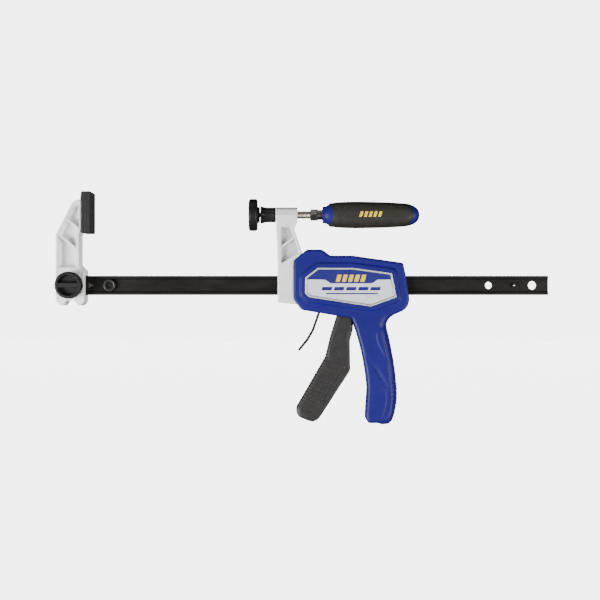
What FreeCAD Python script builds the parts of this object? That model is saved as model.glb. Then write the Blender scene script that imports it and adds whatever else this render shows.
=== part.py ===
"""One-handed bar clamp with a screw-feed jaw, in millimetres.

Frame: +X runs along the bar from the fixed jaw to the free end, +Z points from the bar to the jaws,
+Y points away from the side that carries the locking knob. The origin is on the face of the fixed
jaw's pad, where the axis of the clamping screw meets it.
"""

import FreeCAD, Part
import math
import os
import re

import Sketcher
from FreeCAD import Placement, Rotation, Vector

doc = FreeCAD.newDocument("bar_clamp")
sheet = doc.addObject("Spreadsheet::Sheet", "dims")

# Driving dimensions. Lengths in millimetres, angles in degrees.
DIMENSIONS = {
    # slide bar: an I-section along X
    "bar_start": -41.5, "bar_end": 545.5, "bar_top": -73.0, "bar_height": 23.0, "bar_width": 9.0,
    "web_thickness": 6.0, "flange_height": 3.4, "flange_slope": 1.1, "bar_fit": 0.15, "bar_slide": 0.3,
    "stud_hole_radius": 5.4, "hang_hole_radius": 5.2, "stop_hole_radius": 4.3, "stop_pin_radius": 2.4,
    "knob_x": -25.0, "front_stop_x": 20.5, "adjust_hole_x": 474.5, "rear_stop_x": 504.6, "hang_hole_x": 526.8,
    "arrow_depth": 0.5, "arrow_tip": 2.0, "arrow_length": 7.5, "arrow_half": 4.6,
    "stop_head_radius": 7.2, "stop_head_height": 2.6, "stop_socket": 7.2, "stop_socket_depth": 2.2,
    "stop_pin_length": 15.0, "stop_pin_bore": 1.3, "stop_pin_slit": 0.6, "stop_seat_step": 0.6,
    "stop_thread_radius": 2.5, "stop_edge": 0.9, "bar_edge": 0.8,
    # fixed jaw
    "jaw_half": 14.0, "jaw_web": 3.5, "jaw_rib_half": 11.5, "jaw_rib": 2.3, "jaw_draft": 17.0,
    "jaw_corner": 4.0, "jaw_edge": 1.2, "head_back": -13.0, "pad_round": 1.6,
    "pad_back": -11.7, "pad_low": -22.2, "pad_high": 27.3, "pad_half": 17.5,
    "head_front": -4.0, "head_low": -18.5, "head_high": 22.5, "head_half": 13.5, "head_fit": 0.1,
    "groove_width": 1.4, "groove_depth": 0.7, "groove_pitch": 5.2,
    # locking knob of the fixed jaw
    "washer_radius": 12.0, "washer_thickness": 1.1, "washer_gap": 0.05,
    "knob_radius": 15.9, "knob_height": 13.5, "knob_wall": 3.6, "knob_rib": 5.8, "knob_recess": 7.0,
    "knob_rim": 2.2, "stud_radius": 5.0, "stud_tail": 14.6, "stud_depth": 9.0,
    "nut_across": 17.0, "nut_bottom": 6.5, "nut_top": 13.8, "thread_fit": 0.05,
    # moving jaw casting
    "arm_half": 11.0, "arm_web": 3.5, "arm_draft": 10.0, "arm_rib": 2.4, "arm_rib_half": 9.0,
    "arm_edge": 1.5,
    "boss_start": 219.4, "boss_length": 26.0, "boss_radius": 9.0, "nut_radius": 6.6, "nut_start": 221.5,
    "nut_end": 243.3,
    # clamping screw, along X at z = 0
    "screw_radius": 4.75, "screw_start": 202.4, "screw_end": 330.0, "ball_x": 195.3, "ball_radius": 4.0,
    "ball_neck": 2.7, "neck_start": 201.3, "neck_end": 219.1, "neck_flange": 10.5, "neck_waist": 8.9,
    "neck_tail": 9.1, "flute_start": 202.9, "flute_radius": 2.2, "flute_offset": 8.4, "flute_count": 10,
    "collar_start": 260.8, "collar_length": 8.1, "collar_across": 13.3,
    "ferrule_length": 6.7, "ferrule_radius": 6.4, "ferrule_groove": 0.9,
    "handle_start": 275.6, "handle_end": 391.9, "core_collar": 10.2, "core_radius": 12.0,
    "core_shoulder": 13.5, "grip_start": 283.6, "grip_belly_x": 313.3, "grip_taper_x": 361.3,
    "grip_end": 381.4, "grip_front": 14.0, "grip_belly": 15.9, "grip_taper": 14.6, "grip_tail": 12.6,
    "dome_radius": 12.3,
    # swivel pad on the ball end of the screw
    "swivel_face": 187.3, "swivel_radius": 19.2, "swivel_thickness": 10.2, "swivel_edge": 2.4,
    "hub_end": 200.1, "hub_radius": 9.4, "cup_outer": 5.6, "cup_fit": 0.1, "cup_end": 195.9,
    "socket_radius": 5.8, "ring_start": 197.35, "ring_thickness": 0.8, "ring_inner": 4.1, "ring_outer": 6.9,
    "ring_room_start": 196.4, "ring_room_end": 199.1, "ring_room_radius": 8.0, "lip_radius": 5.6,
    "face_radius": 17.4, "face_thickness": 1.4,
    # housing: two shells that meet on the plane y = 0
    "shell_half": 16.5, "shell_wall": 2.2, "shell_round": 4.5, "shell_corner": 2.0, "shell_open": 9.8,
    "lever_slot_half": 8.3, "lever_slot_front": 267.4, "lever_slot_back": 281.6, "lever_slot_low": -124.0,
    "lever_slot_high": -108.0, "post_gap": 0.4, "mouth_fit": 0.2, "bar_way": 0.5,
    "grip_hollow": 12.0, "boss_outer": 3.9, "boss_pilot": 1.45, "boss_clear": 2.0, "head_recess": 3.6,
    "head_recess_depth": 4.4, "seam": 0.05, "label_recess": 1.0, "label_thickness": 1.5, "label_rim": 2.0,
    "label_field": 0.5, "label_fit": 0.15,
    "shell_screw_tip": -8.0, "shell_screw_radius": 1.4, "shell_screw_head": 3.3, "shell_head_height": 2.2,
    "shell_screw_slot": 0.9, "slot_depth": 1.2, "pin_reach": 14.1,
    "jaw_pin_radius": 2.4, "jaw_pin_x": 254.0, "jaw_pin_high": -62.0, "jaw_pin_low": -102.0,
    "guide_start": 361.5, "guide_length": 7.0, "guide_low": -102.0, "guide_high": -67.0, "guide_fit": 0.25,
    "seat_x": 287.0, "seat_thickness": 3.0, "seat_low": -115.5, "seat_high": -97.5,
    # trigger and drive lever
    "trigger_pivot_x": 300.0, "trigger_pivot_z": -62.0, "pivot_radius": 3.0, "pivot_fit": 0.05,
    "fork_radius": 6.4, "fork_half": 8.3, "fork_slot": 5.3, "core_half": 6.0, "trigger_half": 9.0,
    "trigger_round": 3.0, "trigger_fit": 0.08, "fork_low": -113.0, "fork_crotch": -99.5,
    "fork_front": 294.2, "fork_back": 306.0,
    "drive_start": 306.5, "drive_plate": 3.0, "drive_half": 8.4, "drive_low": -101.0, "drive_high": -68.0,
    "drive_hole_fit": 0.4, "drive_spring_wire": 0.65, "drive_spring_radius": 13.25, "drive_spring_turns": 7.0,
    # release lever
    "release_pivot_x": 280.5, "release_pivot_z": -58.0, "release_pin_radius": 1.65, "release_eye": 3.2,
    "release_half": 7.5, "release_plate": 2.4, "release_hole_high": -71.9, "release_hole_low": -97.1,
    "release_hole_half": 4.95, "release_spring_radius": 3.4, "release_spring_wire": 0.45,
    "release_spring_turns": 5.0, "release_spring_start": 275.0, "release_spring_z": -104.5,
}

# Outlines in the XZ plane. Each corner is (x, z, r): the edge to the next corner is straight when r is 0,
# and otherwise an arc of radius |r|, to the left of the direction of travel when r is above 0.
OUTLINES = {
    "jaw": [
        (-42.2, -100.0, 0), (-42.2, -24.6, 0), (-23.4, 12.6, 12.5), (-13.0, 17.6, 0), (-13.0, 22.5, 0),
        (-4.0, 22.5, 0), (-4.0, -18.5, 0), (-12.6, -18.5, 0), (-14.5, -24.0, 0), (-14.5, -60.4, 0),
        (-7.8, -67.2, 0), (-7.8, -101.5, 8.0), (-12.5, -108.4, 0), (-15.6, -108.4, 0), (-19.2, -102.6, 0),
        (-29.4, -102.6, 0), (-33.0, -108.4, 0), (-36.4, -108.4, 8.0),
    ],
    "jaw_pocket": [
        (-40.0, -63.5, 0), (-40.0, -25.1, 0), (-22.0, 10.6, 0), (-13.4, 14.6, 0), (-13.4, -14.8, 0),
        (-17.6, -20.6, 0), (-17.6, -63.5, 0),
    ],
    "arm": [
        (221.8, -104.6, 0), (221.8, -60.0, 0), (219.8, -9.0, 0), (219.8, 0.0, 0), (244.8, 0.0, 0),
        (244.8, -9.0, 0), (241.2, -16.0, 0), (251.8, -48.0, 0), (262.0, -52.0, 0), (262.0, -107.2, 0),
        (243.0, -107.2, 0),
    ],
    "arm_pocket": [(225.2, -14.6, 0), (238.0, -14.6, 0), (248.4, -46.0, 0), (226.0, -58.4, 0)],
    "housing": [
        (240.5, -101.0, 0), (240.5, -55.2, 0), (256.5, -41.8, 0), (274.8, -41.8, 0), (284.6, -49.0, 0),
        (311.0, -49.0, 0), (371.4, -57.6, 0), (375.2, -75.0, 0), (378.8, -99.6, 16.0), (369.6, -115.6, 0),
        (362.0, -119.0, -16.0), (351.6, -133.0, 450.0), (364.2, -205.0, 90.0), (358.6, -246.0, 0),
        (354.0, -250.4, 0), (330.0, -250.0, 0), (326.3, -244.0, 0), (328.6, -208.0, -290.0),
        (309.6, -123.2, 0), (291.9, -120.8, 0), (250.4, -113.9, 0),
    ],
    "cavity": [
        (262.4, -111.8, 0), (262.4, -45.1, 0), (273.8, -45.1, 0), (283.6, -52.3, 0), (310.6, -52.3, 0),
        (368.4, -60.6, 0), (371.8, -75.4, 0), (375.2, -99.4, 0), (368.0, -112.4, 0), (356.0, -117.0, 0),
        (291.6, -117.2, 0),
    ],
    "mouth": [
        (238.0, -107.4, 0), (238.0, -36.0, 0), (248.4, -36.0, 0), (251.9, -46.6, 0), (264.0, -46.6, 0),
        (264.0, -107.4, 0),
    ],
    "grip_room": [
        (335.6, -114.0, 0), (351.0, -114.0, 0), (348.2, -133.0, 0), (357.0, -170.0, 0), (360.6, -205.0, 0),
        (355.6, -244.0, 0), (352.0, -246.8, 0), (333.0, -246.6, 0), (334.0, -228.0, 0), (344.6, -201.0, 0),
        (344.6, -176.0, 0), (336.4, -150.0, 0),
    ],
    "trigger_way": [
        (291.2, -126.0, 0), (291.2, -112.0, 0), (331.0, -112.0, 0), (333.2, -150.0, 0), (341.4, -176.0, 0),
        (341.4, -200.0, 0), (331.0, -224.0, 0), (318.0, -224.0, 0), (300.0, -135.0, 0),
    ],
    "label": [
        (254.6, -75.3, 0), (269.6, -63.8, 0), (311.4, -63.8, 0), (357.6, -70.2, 0), (363.0, -98.7, 0),
        (332.9, -109.9, 0), (259.2, -98.7, 0), (254.6, -93.8, 0),
    ],
    "trigger": [
        (292.9, -119.0, 0), (285.6, -142.5, 0), (278.4, -170.0, 0), (244.2, -229.0, -13.0),
        (249.0, -243.6, -24.0), (268.4, -246.2, -33.0), (279.0, -232.0, 0), (306.4, -189.5, -10.0),
        (308.6, -181.0, 0), (308.2, -150.0, 0), (311.6, -138.0, 0), (312.6, -119.0, 0),
    ],
    "trigger_core": [
        (296.4, -112.0, 0), (289.2, -140.0, 0), (282.0, -171.0, 0), (252.0, -224.0, 0), (254.0, -236.0, 0),
        (266.0, -240.0, 0), (303.6, -182.0, 0), (304.2, -149.0, 0), (307.6, -134.0, 0), (307.6, -112.0, 0),
    ],
}

# Diagonal ribs as (x, z) end points, and the housing screws as (x, z) places.
JAW_RIBS = [((-31.4, -5.2), (-14.4, -17.4)), ((-40.2, -23.8), (-16.8, -41.6))]
ARM_RIB = ((223.4, -40.6), (243.6, -26.2))
SHELL_SCREWS = [
    (268.4, -50.2), (326.0, -59.4), (357.2, -65.4), (357.0, -108.0), (344.0, -148.0), (345.6, -234.0),
]
# Centreline of the release lever below its pivot, from top to bottom.
RELEASE_LINE = [(280.5, -58.0), (271.1, -117.5), (263.9, -138.2), (257.0, -150.0), (247.0, -162.2)]

# Places of the pads' grooves in groove pitches, and the outline corners of the fixed jaw that are rounded.
GROOVE_STEPS = (-2.5, -1.5, -0.5, 0.5, 1.5, 2.5)
JAW_TURNS = (1, 9, 10)

SYMMETRIC = "Symmetric"
ONE_SIDE = "One side"
rows_used = 0
names = set()
nodes = {}


# ---------------------------------------------------------------- sheet and expressions

def put(name, number):
    """Writes one cell as text and gives it its alias."""
    global rows_used
    rows_used += 1
    sheet.set(f"A{rows_used}", name)
    sheet.set(f"B{rows_used}", repr(float(number)))
    sheet.setAlias(f"B{rows_used}", name)
    names.add(name)


def cells(expression):
    """Puts the sheet's name before each alias in an expression."""
    return re.sub(r"[a-z][a-z0-9_]*", lambda m: f"dims.{m[0]}" if m[0] in names else m[0], str(expression))


def value(expression):
    return float(sheet.evalExpression(cells(expression)))


def bind(item, prop, expression):
    item.setExpression(prop, cells(expression))


def fill_sheet():
    for name, number in DIMENSIONS.items():
        put(name, number)
    for name, corners in OUTLINES.items():
        for i, (x, z, r) in enumerate(corners):
            put(f"{name}_{i}_x", x)
            put(f"{name}_{i}_z", z)
            if r:
                put(f"{name}_{i}_r", r)
    for name, points in (("rib_a", JAW_RIBS[0]), ("rib_b", JAW_RIBS[1]), ("arm_rib_line", ARM_RIB),
                         ("shell_screw", SHELL_SCREWS), ("release", RELEASE_LINE)):
        for i, (x, z) in enumerate(points):
            put(f"{name}_{i}_x", x)
            put(f"{name}_{i}_z", z)
    doc.recompute()


# ---------------------------------------------------------------- sketches and features

def new_body(label):
    body = doc.addObject("PartDesign::Body", label)
    body.Label = label
    nodes[label] = body
    return body


def plane_of(body, role):
    return next(f for f in body.Origin.OriginFeatures if f.Role == role)


def new_sketch(body, role, offset="0"):
    """A sketch on one of the body's origin planes, moved along the plane's normal."""
    sketch = body.newObject("Sketcher::SketchObject", "sketch")
    sketch.AttachmentSupport = [(plane_of(body, role), "")]
    sketch.MapMode = "FlatFace"
    if offset != "0":
        bind(sketch, "AttachmentOffset.Base.z", offset)
    return sketch


def arc_middle(start, end, radius):
    """The point halfway along an arc that bends to the left of start-end when radius is above 0."""
    chord = end - start
    half = chord.Length / 2
    rise = abs(radius) - math.sqrt(radius * radius - half * half)
    left = Vector(-chord.y, chord.x, 0).normalize()
    return (start + end) * 0.5 + left * math.copysign(rise, radius)


def draw(sketch, corners):
    """Draws a closed outline. Each corner is (x, z) or (x, z, r) in expressions, all tied to the sheet.

    Arcs always run anticlockwise, so one that bends to the left of its edge is drawn from end to start.
    """
    points = [Vector(value(c[0]), value(c[1]), 0) for c in corners]
    first = sketch.GeometryCount
    count = len(corners)
    for i, corner in enumerate(corners):
        start, end = points[i], points[(i + 1) % count]
        if len(corner) > 2:
            radius = value(corner[2])
            first_end, last_end = (end, start) if radius > 0 else (start, end)
            sketch.addGeometry(Part.Arc(first_end, arc_middle(start, end, radius), last_end), False)
        else:
            sketch.addGeometry(Part.LineSegment(start, end), False)
    ends = [(2, 1) if len(c) > 2 and value(c[2]) > 0 else (1, 2) for c in corners]
    for i in range(count):
        following = (i + 1) % count
        sketch.addConstraint(
            Sketcher.Constraint("Coincident", first + i, ends[i][1], first + following, ends[following][0])
        )
    for i, corner in enumerate(corners):
        for kind, number in (("DistanceX", 0), ("DistanceY", 1)):
            constraint = Sketcher.Constraint(kind, -1, 1, first + i, ends[i][0], points[i][number])
            fix(sketch, constraint, corner[number])
        if len(corner) > 2:
            radius = abs(value(corner[2]))
            fix(sketch, Sketcher.Constraint("Radius", first + i, radius), f"abs({corner[2]})")


def fix(sketch, constraint, expression):
    number = sketch.addConstraint(constraint)
    bind(sketch, f"Constraints[{number}]", expression)


def draw_named(sketch, name):
    """Draws one of the outlines kept in the sheet."""
    corners = []
    for i, (x, z, r) in enumerate(OUTLINES[name]):
        corner = (f"{name}_{i}_x", f"{name}_{i}_z")
        corners.append(corner + (f"{name}_{i}_r",) if r else corner)
    draw(sketch, corners)


def draw_box(sketch, low_x, low_y, high_x, high_y):
    draw(sketch, [(low_x, low_y), (high_x, low_y), (high_x, high_y), (low_x, high_y)])


def draw_circle(sketch, x, y, radius):
    centre = Vector(value(x), value(y), 0)
    index = sketch.addGeometry(Part.Circle(centre, Vector(0, 0, 1), value(radius)), False)
    fix(sketch, Sketcher.Constraint("DistanceX", -1, 1, index, 3, value(x)), x)
    fix(sketch, Sketcher.Constraint("DistanceY", -1, 1, index, 3, value(y)), y)
    fix(sketch, Sketcher.Constraint("Radius", index, value(radius)), radius)


def draw_hexagon(sketch, x, y, across):
    """A hexagon with two corners level with its centre."""
    corners = []
    for i in range(6):
        angle = math.radians(60 * i)
        corners.append((f"{x} + ({across}) / sqrt(3) * {math.cos(angle):.6f}",
                        f"{y} + ({across}) / sqrt(3) * {math.sin(angle):.6f}"))
    draw(sketch, corners)


def feature(body, kind, sketch, length, side=ONE_SIDE, reverse=False, taper=None):
    item = body.newObject(f"PartDesign::{kind}", kind.lower())
    item.Profile = sketch
    item.SideType = side
    item.Reversed = reverse
    bind(item, "Length", length)
    if taper:
        bind(item, "TaperAngle", taper)
    doc.recompute()
    return item


def pad(body, sketch, length, side=ONE_SIDE, reverse=False):
    return feature(body, "Pad", sketch, length, side, reverse)


def pocket(body, sketch, length, side=ONE_SIDE, reverse=False, taper=None):
    before = body.Shape.Volume
    item = feature(body, "Pocket", sketch, length, side, reverse, taper)
    if body.Shape.Volume > before - 0.01:
        raise RuntimeError(f"{body.Label}: a pocket cuts nothing")
    return item


def sphere(body, kind, x, radius):
    """Adds or takes away a ball with its centre on the X axis."""
    item = body.newObject(f"PartDesign::{kind}Sphere", "ball")
    bind(item, "Radius", radius)
    item.AttachmentSupport = [(plane_of(body, "XY_Plane"), "")]
    item.MapMode = "FlatFace"
    bind(item, "AttachmentOffset.Base.x", x)
    doc.recompute()
    return item


def turned(body, sketch):
    """A full turn of a sketch on XY about the X axis of the body."""
    item = body.newObject("PartDesign::Revolution", "turned")
    item.Profile = sketch
    item.ReferenceAxis = (plane_of(body, "X_Axis"), [""])
    item.Angle = 360
    doc.recompute()
    return item


def soften(body, radius, wanted, kind="Fillet"):
    """Rounds or chamfers the edges for which wanted(edge, its box) is true, largest set that builds."""
    base = body.Tip
    edges = [f"Edge{i + 1}" for i, e in enumerate(base.Shape.Edges) if wanted(e, e.BoundBox)]
    if not edges:
        raise RuntimeError(f"{body.Label}: no edge to soften")
    item = body.newObject(f"PartDesign::{kind}", kind.lower())
    item.Base = (base, edges)
    bind(item, "Radius" if kind == "Fillet" else "Size", radius)
    doc.recompute()
    if "Invalid" in item.State or not item.Shape.isValid():
        raise RuntimeError(f"{body.Label}: {kind} {radius} fails on {len(edges)} edges")
    return item


def upright(edge, box):
    """True for an edge that runs along Y."""
    return box.XLength < 1e-6 and box.ZLength < 1e-6 and box.YLength > 1e-3


def round_profile(label, corners):
    """A turned piece: corners are (x, radius) pairs of a closed half profile."""
    body = new_body(label)
    sketch = new_sketch(body, "XY_Plane")
    draw(sketch, corners)
    turned(body, sketch)
    return body


def y_bar(label, x, z, radius, low, high):
    """A plain pin along Y from low to high."""
    body = new_body(label)
    sketch = new_sketch(body, "XZ_Plane", f"-({high})")
    draw_circle(sketch, x, z, radius)
    pad(body, sketch, f"({high}) - ({low})")
    return body


def strip(points, name, half):
    """Corners of a strip of half-width half about the line name_0 to name_1 of the sheet."""
    (x0, z0), (x1, z1) = points
    length = math.hypot(x1 - x0, z1 - z0)
    across_x, across_z = -(z1 - z0) / length, (x1 - x0) / length
    corners = []
    for end, side in ((0, 1), (1, 1), (1, -1), (0, -1)):
        corners.append((f"{name}_{end}_x + {side * across_x:.6f} * {half}",
                        f"{name}_{end}_z + {side * across_z:.6f} * {half}"))
    return corners


# ---------------------------------------------------------------- bar and its stops

def make_bar():
    body = new_body("bar")
    section = new_sketch(body, "YZ_Plane", "bar_start")
    wide, thin = "bar_width / 2", "web_thickness / 2"
    top, low = "bar_top", "bar_top - bar_height"
    upper = "bar_top - flange_height"
    lower = "bar_top - bar_height + flange_height"
    draw(section, [
        (f"-{wide}", top), (wide, top), (wide, upper), (thin, f"{upper} - flange_slope"),
        (thin, f"{lower} + flange_slope"), (wide, lower), (wide, low), (f"-{wide}", low), (f"-{wide}", lower),
        (f"-{thin}", f"{lower} + flange_slope"), (f"-{thin}", f"{upper} - flange_slope"), (f"-{wide}", upper),
    ])
    pad(body, section, "bar_end - bar_start")
    side = value("bar_width / 2")
    soften(body, "bar_edge", lambda e, b: b.XLength > 400 and abs(abs(b.YMin) - side) < 1e-6)
    middle = "bar_top - bar_height / 2"
    holes = new_sketch(body, "XZ_Plane")
    for x, radius in (("knob_x", "stud_hole_radius"), ("front_stop_x", "stop_hole_radius"),
                      ("adjust_hole_x", "stop_hole_radius"), ("rear_stop_x", "stop_pin_radius"),
                      ("hang_hole_x", "hang_hole_radius")):
        draw_circle(holes, x, middle, radius)
    pocket(body, holes, "bar_width * 2", SYMMETRIC)
    for side, reverse in (("web_thickness / 2", False), ("-web_thickness / 2", True)):
        arrow = new_sketch(body, "XZ_Plane", side)
        draw(arrow, [("arrow_tip", middle), ("arrow_tip - arrow_length", f"{middle} + arrow_half"),
                     ("arrow_tip - arrow_length", f"{middle} - arrow_half")])
        pocket(body, arrow, "arrow_depth", reverse=reverse)


def make_stops():
    """Front stop: a socket-head screw and a flanged barrel nut. Rear stop: a hollow spring pin."""
    middle = "bar_top - bar_height / 2"
    face = "bar_width / 2"
    screw = new_body("front_stop_screw")
    head = new_sketch(screw, "XZ_Plane", face)
    draw_circle(head, "front_stop_x", middle, "stop_head_radius")
    pad(screw, head, "stop_head_height")
    seat = new_sketch(screw, "XZ_Plane", "web_thickness / 2")
    draw_circle(seat, "front_stop_x", middle, "stop_head_radius - stop_seat_step")
    pad(screw, seat, "(bar_width - web_thickness) / 2 + 0.1")
    shank = new_sketch(screw, "XZ_Plane", "-web_thickness / 2 + 0.5")
    draw_circle(shank, "front_stop_x", middle, "stop_thread_radius")
    pad(screw, shank, "web_thickness")
    top = value("bar_width / 2 + stop_head_height")
    soften(screw, "stop_edge", lambda e, b: b.YMax < -top + 1e-3, "Chamfer")
    socket = new_sketch(screw, "XZ_Plane", "bar_width / 2 + stop_head_height")
    draw_hexagon(socket, "front_stop_x", middle, "stop_socket")
    pocket(screw, socket, "stop_socket_depth")

    nut = new_body("front_stop_nut")
    flange = new_sketch(nut, "XZ_Plane", "-bar_width / 2 - stop_head_height")
    draw_circle(flange, "front_stop_x", middle, "stop_head_radius")
    pad(nut, flange, "stop_head_height")
    neck = new_sketch(nut, "XZ_Plane", "-bar_width / 2 - 0.1")
    draw_circle(neck, "front_stop_x", middle, "stop_head_radius - stop_seat_step")
    pad(nut, neck, "(bar_width - web_thickness) / 2 + 0.1")
    barrel = new_sketch(nut, "XZ_Plane", "-web_thickness / 2 - 0.1")
    draw_circle(barrel, "front_stop_x", middle, "stop_hole_radius - 0.05")
    pad(nut, barrel, "web_thickness - 0.2")
    bore = new_sketch(nut, "XZ_Plane", "web_thickness / 2 + 1")
    draw_circle(bore, "front_stop_x", middle, "stop_thread_radius + 0.02")
    pocket(nut, bore, "web_thickness + 2")
    soften(nut, "stop_edge", lambda e, b: b.YMin > top - 1e-3, "Chamfer")

    pin = y_bar("rear_stop_pin", "rear_stop_x", middle, "stop_pin_radius", "-stop_pin_length / 2",
                "stop_pin_length / 2")
    hollow = new_sketch(pin, "XZ_Plane")
    draw_circle(hollow, "rear_stop_x", middle, "stop_pin_bore")
    pocket(pin, hollow, "stop_pin_length * 2", SYMMETRIC)
    slit = new_sketch(pin, "XZ_Plane")
    draw_box(slit, "rear_stop_x", f"{middle} - stop_pin_slit / 2", "rear_stop_x + stop_pin_radius * 2",
             f"{middle} + stop_pin_slit / 2")
    pocket(pin, slit, "stop_pin_length * 2", SYMMETRIC)


# ---------------------------------------------------------------- fixed jaw

def make_fixed_jaw():
    body = new_body("fixed_jaw")
    outline = new_sketch(body, "XZ_Plane")
    draw_named(outline, "jaw")
    pad(body, outline, "jaw_half * 2", SYMMETRIC)
    turns = [OUTLINES["jaw"][i][:2] for i in JAW_TURNS]
    soften(body, "jaw_corner", lambda e, b: upright(e, b) and near(b, turns))
    rim = value("jaw_half")
    soften(body, "jaw_edge", lambda e, b: (
        on_face(b, rim) and b.ZMin > -101.6 and (b.XMax < -13.2 or b.ZMax < -18.6)
    ))
    for side, reverse in (("jaw_half", False), ("-jaw_half", True)):
        room = new_sketch(body, "XZ_Plane", side)
        draw_named(room, "jaw_pocket")
        pocket(body, room, "jaw_half - jaw_web", reverse=reverse, taper="-jaw_draft")
    for name, points in (("rib_a", JAW_RIBS[0]), ("rib_b", JAW_RIBS[1])):
        rib = new_sketch(body, "XZ_Plane")
        draw(rib, strip(points, name, "jaw_rib / 2"))
        pad(body, rib, "jaw_rib_half * 2", SYMMETRIC)
    for side, reverse in (("jaw_half + 1", False), ("-jaw_half - 1", True)):
        trim = new_sketch(body, "XZ_Plane", side)
        draw_box(trim, "head_back", "head_low - 2", "head_front + 1", "head_high + 2")
        pocket(body, trim, "jaw_half + 1 - head_half", reverse=reverse)
    channel = new_sketch(body, "YZ_Plane", "-60")
    draw_box(channel, "-bar_width / 2 - bar_fit", "bar_top - bar_height - bar_fit", "bar_width / 2 + bar_fit",
             "bar_top + bar_fit")
    pocket(body, channel, "70", reverse=True)
    bore = new_sketch(body, "XZ_Plane")
    draw_circle(bore, "knob_x", "bar_top - bar_height / 2", "stud_hole_radius")
    pocket(body, bore, "jaw_half * 3", SYMMETRIC)
    nut_room = new_sketch(body, "XZ_Plane", "-nut_bottom")
    draw_hexagon(nut_room, "knob_x", "bar_top - bar_height / 2", "nut_across + head_fit * 2")
    pocket(body, nut_room, "jaw_half")


def near(box, places, reach=0.6):
    """True if an edge that runs along Y stands at one of the (x, z) places."""
    return any(abs(box.XMin - x) < reach and abs(box.ZMin - z) < reach for x, z in places)


def on_face(box, height):
    """True if an edge lies in one of the two planes y = height and y = -height."""
    return box.YLength < 1e-4 and abs(abs(box.YMin) - height) < 1e-3


def make_fixed_pad():
    """Soft cap over the jaw's head, with shallow grooves along Z in its face."""
    body = new_body("fixed_pad")
    outline = new_sketch(body, "XZ_Plane")
    draw_box(outline, "pad_back", "pad_low", "0", "pad_high")
    pad(body, outline, "pad_half * 2", SYMMETRIC)
    soften(body, "pad_round", lambda e, b: b.YLength < 1e-6 or upright(e, b))
    room = new_sketch(body, "XZ_Plane")
    draw_box(room, "pad_back - 5", "head_low - head_fit", "head_front + head_fit", "head_high + head_fit")
    pocket(body, room, "(head_half + head_fit) * 2", SYMMETRIC)
    for step in GROOVE_STEPS:
        groove = new_sketch(body, "XY_Plane")
        middle = f"{step} * groove_pitch"
        draw_box(groove, "-groove_depth", f"{middle} - groove_width / 2", "1", f"{middle} + groove_width / 2")
        pocket(body, groove, "pad_high * 3", SYMMETRIC)


def make_knob():
    """Locking knob with a thumb rib between two D-shaped recesses, its stud, washer and nut."""
    middle = "bar_top - bar_height / 2"
    washer_base = "jaw_half + washer_gap"
    washer = y_bar("knob_washer", "knob_x", middle, "washer_radius", f"-({washer_base} + washer_thickness)",
                   f"-({washer_base})")
    hole = new_sketch(washer, "XZ_Plane")
    draw_circle(hole, "knob_x", middle, "stud_hole_radius")
    pocket(washer, hole, "jaw_half * 4", SYMMETRIC)

    knob_base = "jaw_half + washer_gap * 2 + washer_thickness"
    knob_top = f"-({knob_base} + knob_height)"
    knob = y_bar("jaw_knob", "knob_x", middle, "knob_radius", knob_top, f"-({knob_base})")
    outer_y = value(knob_top)
    soften(knob, "knob_rim", lambda e, b: b.YMax < outer_y + 1e-3)
    for sign in ("", "-"):
        recess = new_sketch(knob, "XZ_Plane", f"{knob_base} + knob_height")
        half_moon(recess, "knob_x", middle, sign)
        pocket(knob, recess, "knob_recess")
    seat = new_sketch(knob, "XZ_Plane", "0")
    draw_circle(seat, "knob_x", middle, "stud_radius")
    pocket(knob, seat, f"{knob_base} + stud_depth - 3", reverse=True)
    soften(knob, "0.7", lambda e, b: b.YMax < outer_y + 1e-3 and b.YLength < 1e-6)

    y_bar("knob_stud", "knob_x", middle, "stud_radius", f"-({knob_base} + stud_depth - 3)", "stud_tail")
    stud = nodes["knob_stud"]
    soften(stud, "0.8", lambda e, b: b.YMin > value("stud_tail") - 1e-3, "Chamfer")

    nut = new_body("jaw_nut")
    section = new_sketch(nut, "XZ_Plane", "-nut_top")
    draw_hexagon(section, "knob_x", middle, "nut_across")
    pad(nut, section, "nut_top - nut_bottom - head_fit")
    thread = new_sketch(nut, "XZ_Plane")
    draw_circle(thread, "knob_x", middle, "stud_radius + thread_fit")
    pocket(nut, thread, "nut_top * 3", SYMMETRIC)


def half_moon(sketch, x, z, sign):
    """A D-shaped recess above or below the knob's thumb rib."""
    inner = value("knob_radius - knob_wall")
    rib = value("knob_rib / 2")
    reach = math.sqrt(inner * inner - rib * rib)
    low = f"{z} + {sign}1 * knob_rib / 2"
    run = "sqrt((knob_radius - knob_wall) ^ 2 - (knob_rib / 2) ^ 2)"
    first, last = Vector(value(x) - reach, value(low), 0), Vector(value(x) + reach, value(low), 0)
    sketch.addGeometry(Part.LineSegment(first, last), False)
    top = Vector(value(x), value(z) + (inner if sign == "" else -inner), 0)
    ends = (last, first) if sign == "" else (first, last)
    sketch.addGeometry(Part.Arc(ends[0], top, ends[1]), False)
    sketch.addConstraint(Sketcher.Constraint("Coincident", 0, 2, 1, 1 if sign == "" else 2))
    sketch.addConstraint(Sketcher.Constraint("Coincident", 0, 1, 1, 2 if sign == "" else 1))
    fix(sketch, Sketcher.Constraint("DistanceX", -1, 1, 0, 1, first.x), f"{x} - {run}")
    fix(sketch, Sketcher.Constraint("DistanceX", -1, 1, 0, 2, last.x), f"{x} + {run}")
    fix(sketch, Sketcher.Constraint("DistanceY", -1, 1, 0, 1, first.y), low)
    fix(sketch, Sketcher.Constraint("DistanceY", -1, 1, 0, 2, last.y), low)
    fix(sketch, Sketcher.Constraint("Radius", 1, inner), "knob_radius - knob_wall")


# ---------------------------------------------------------------- moving jaw casting

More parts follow.
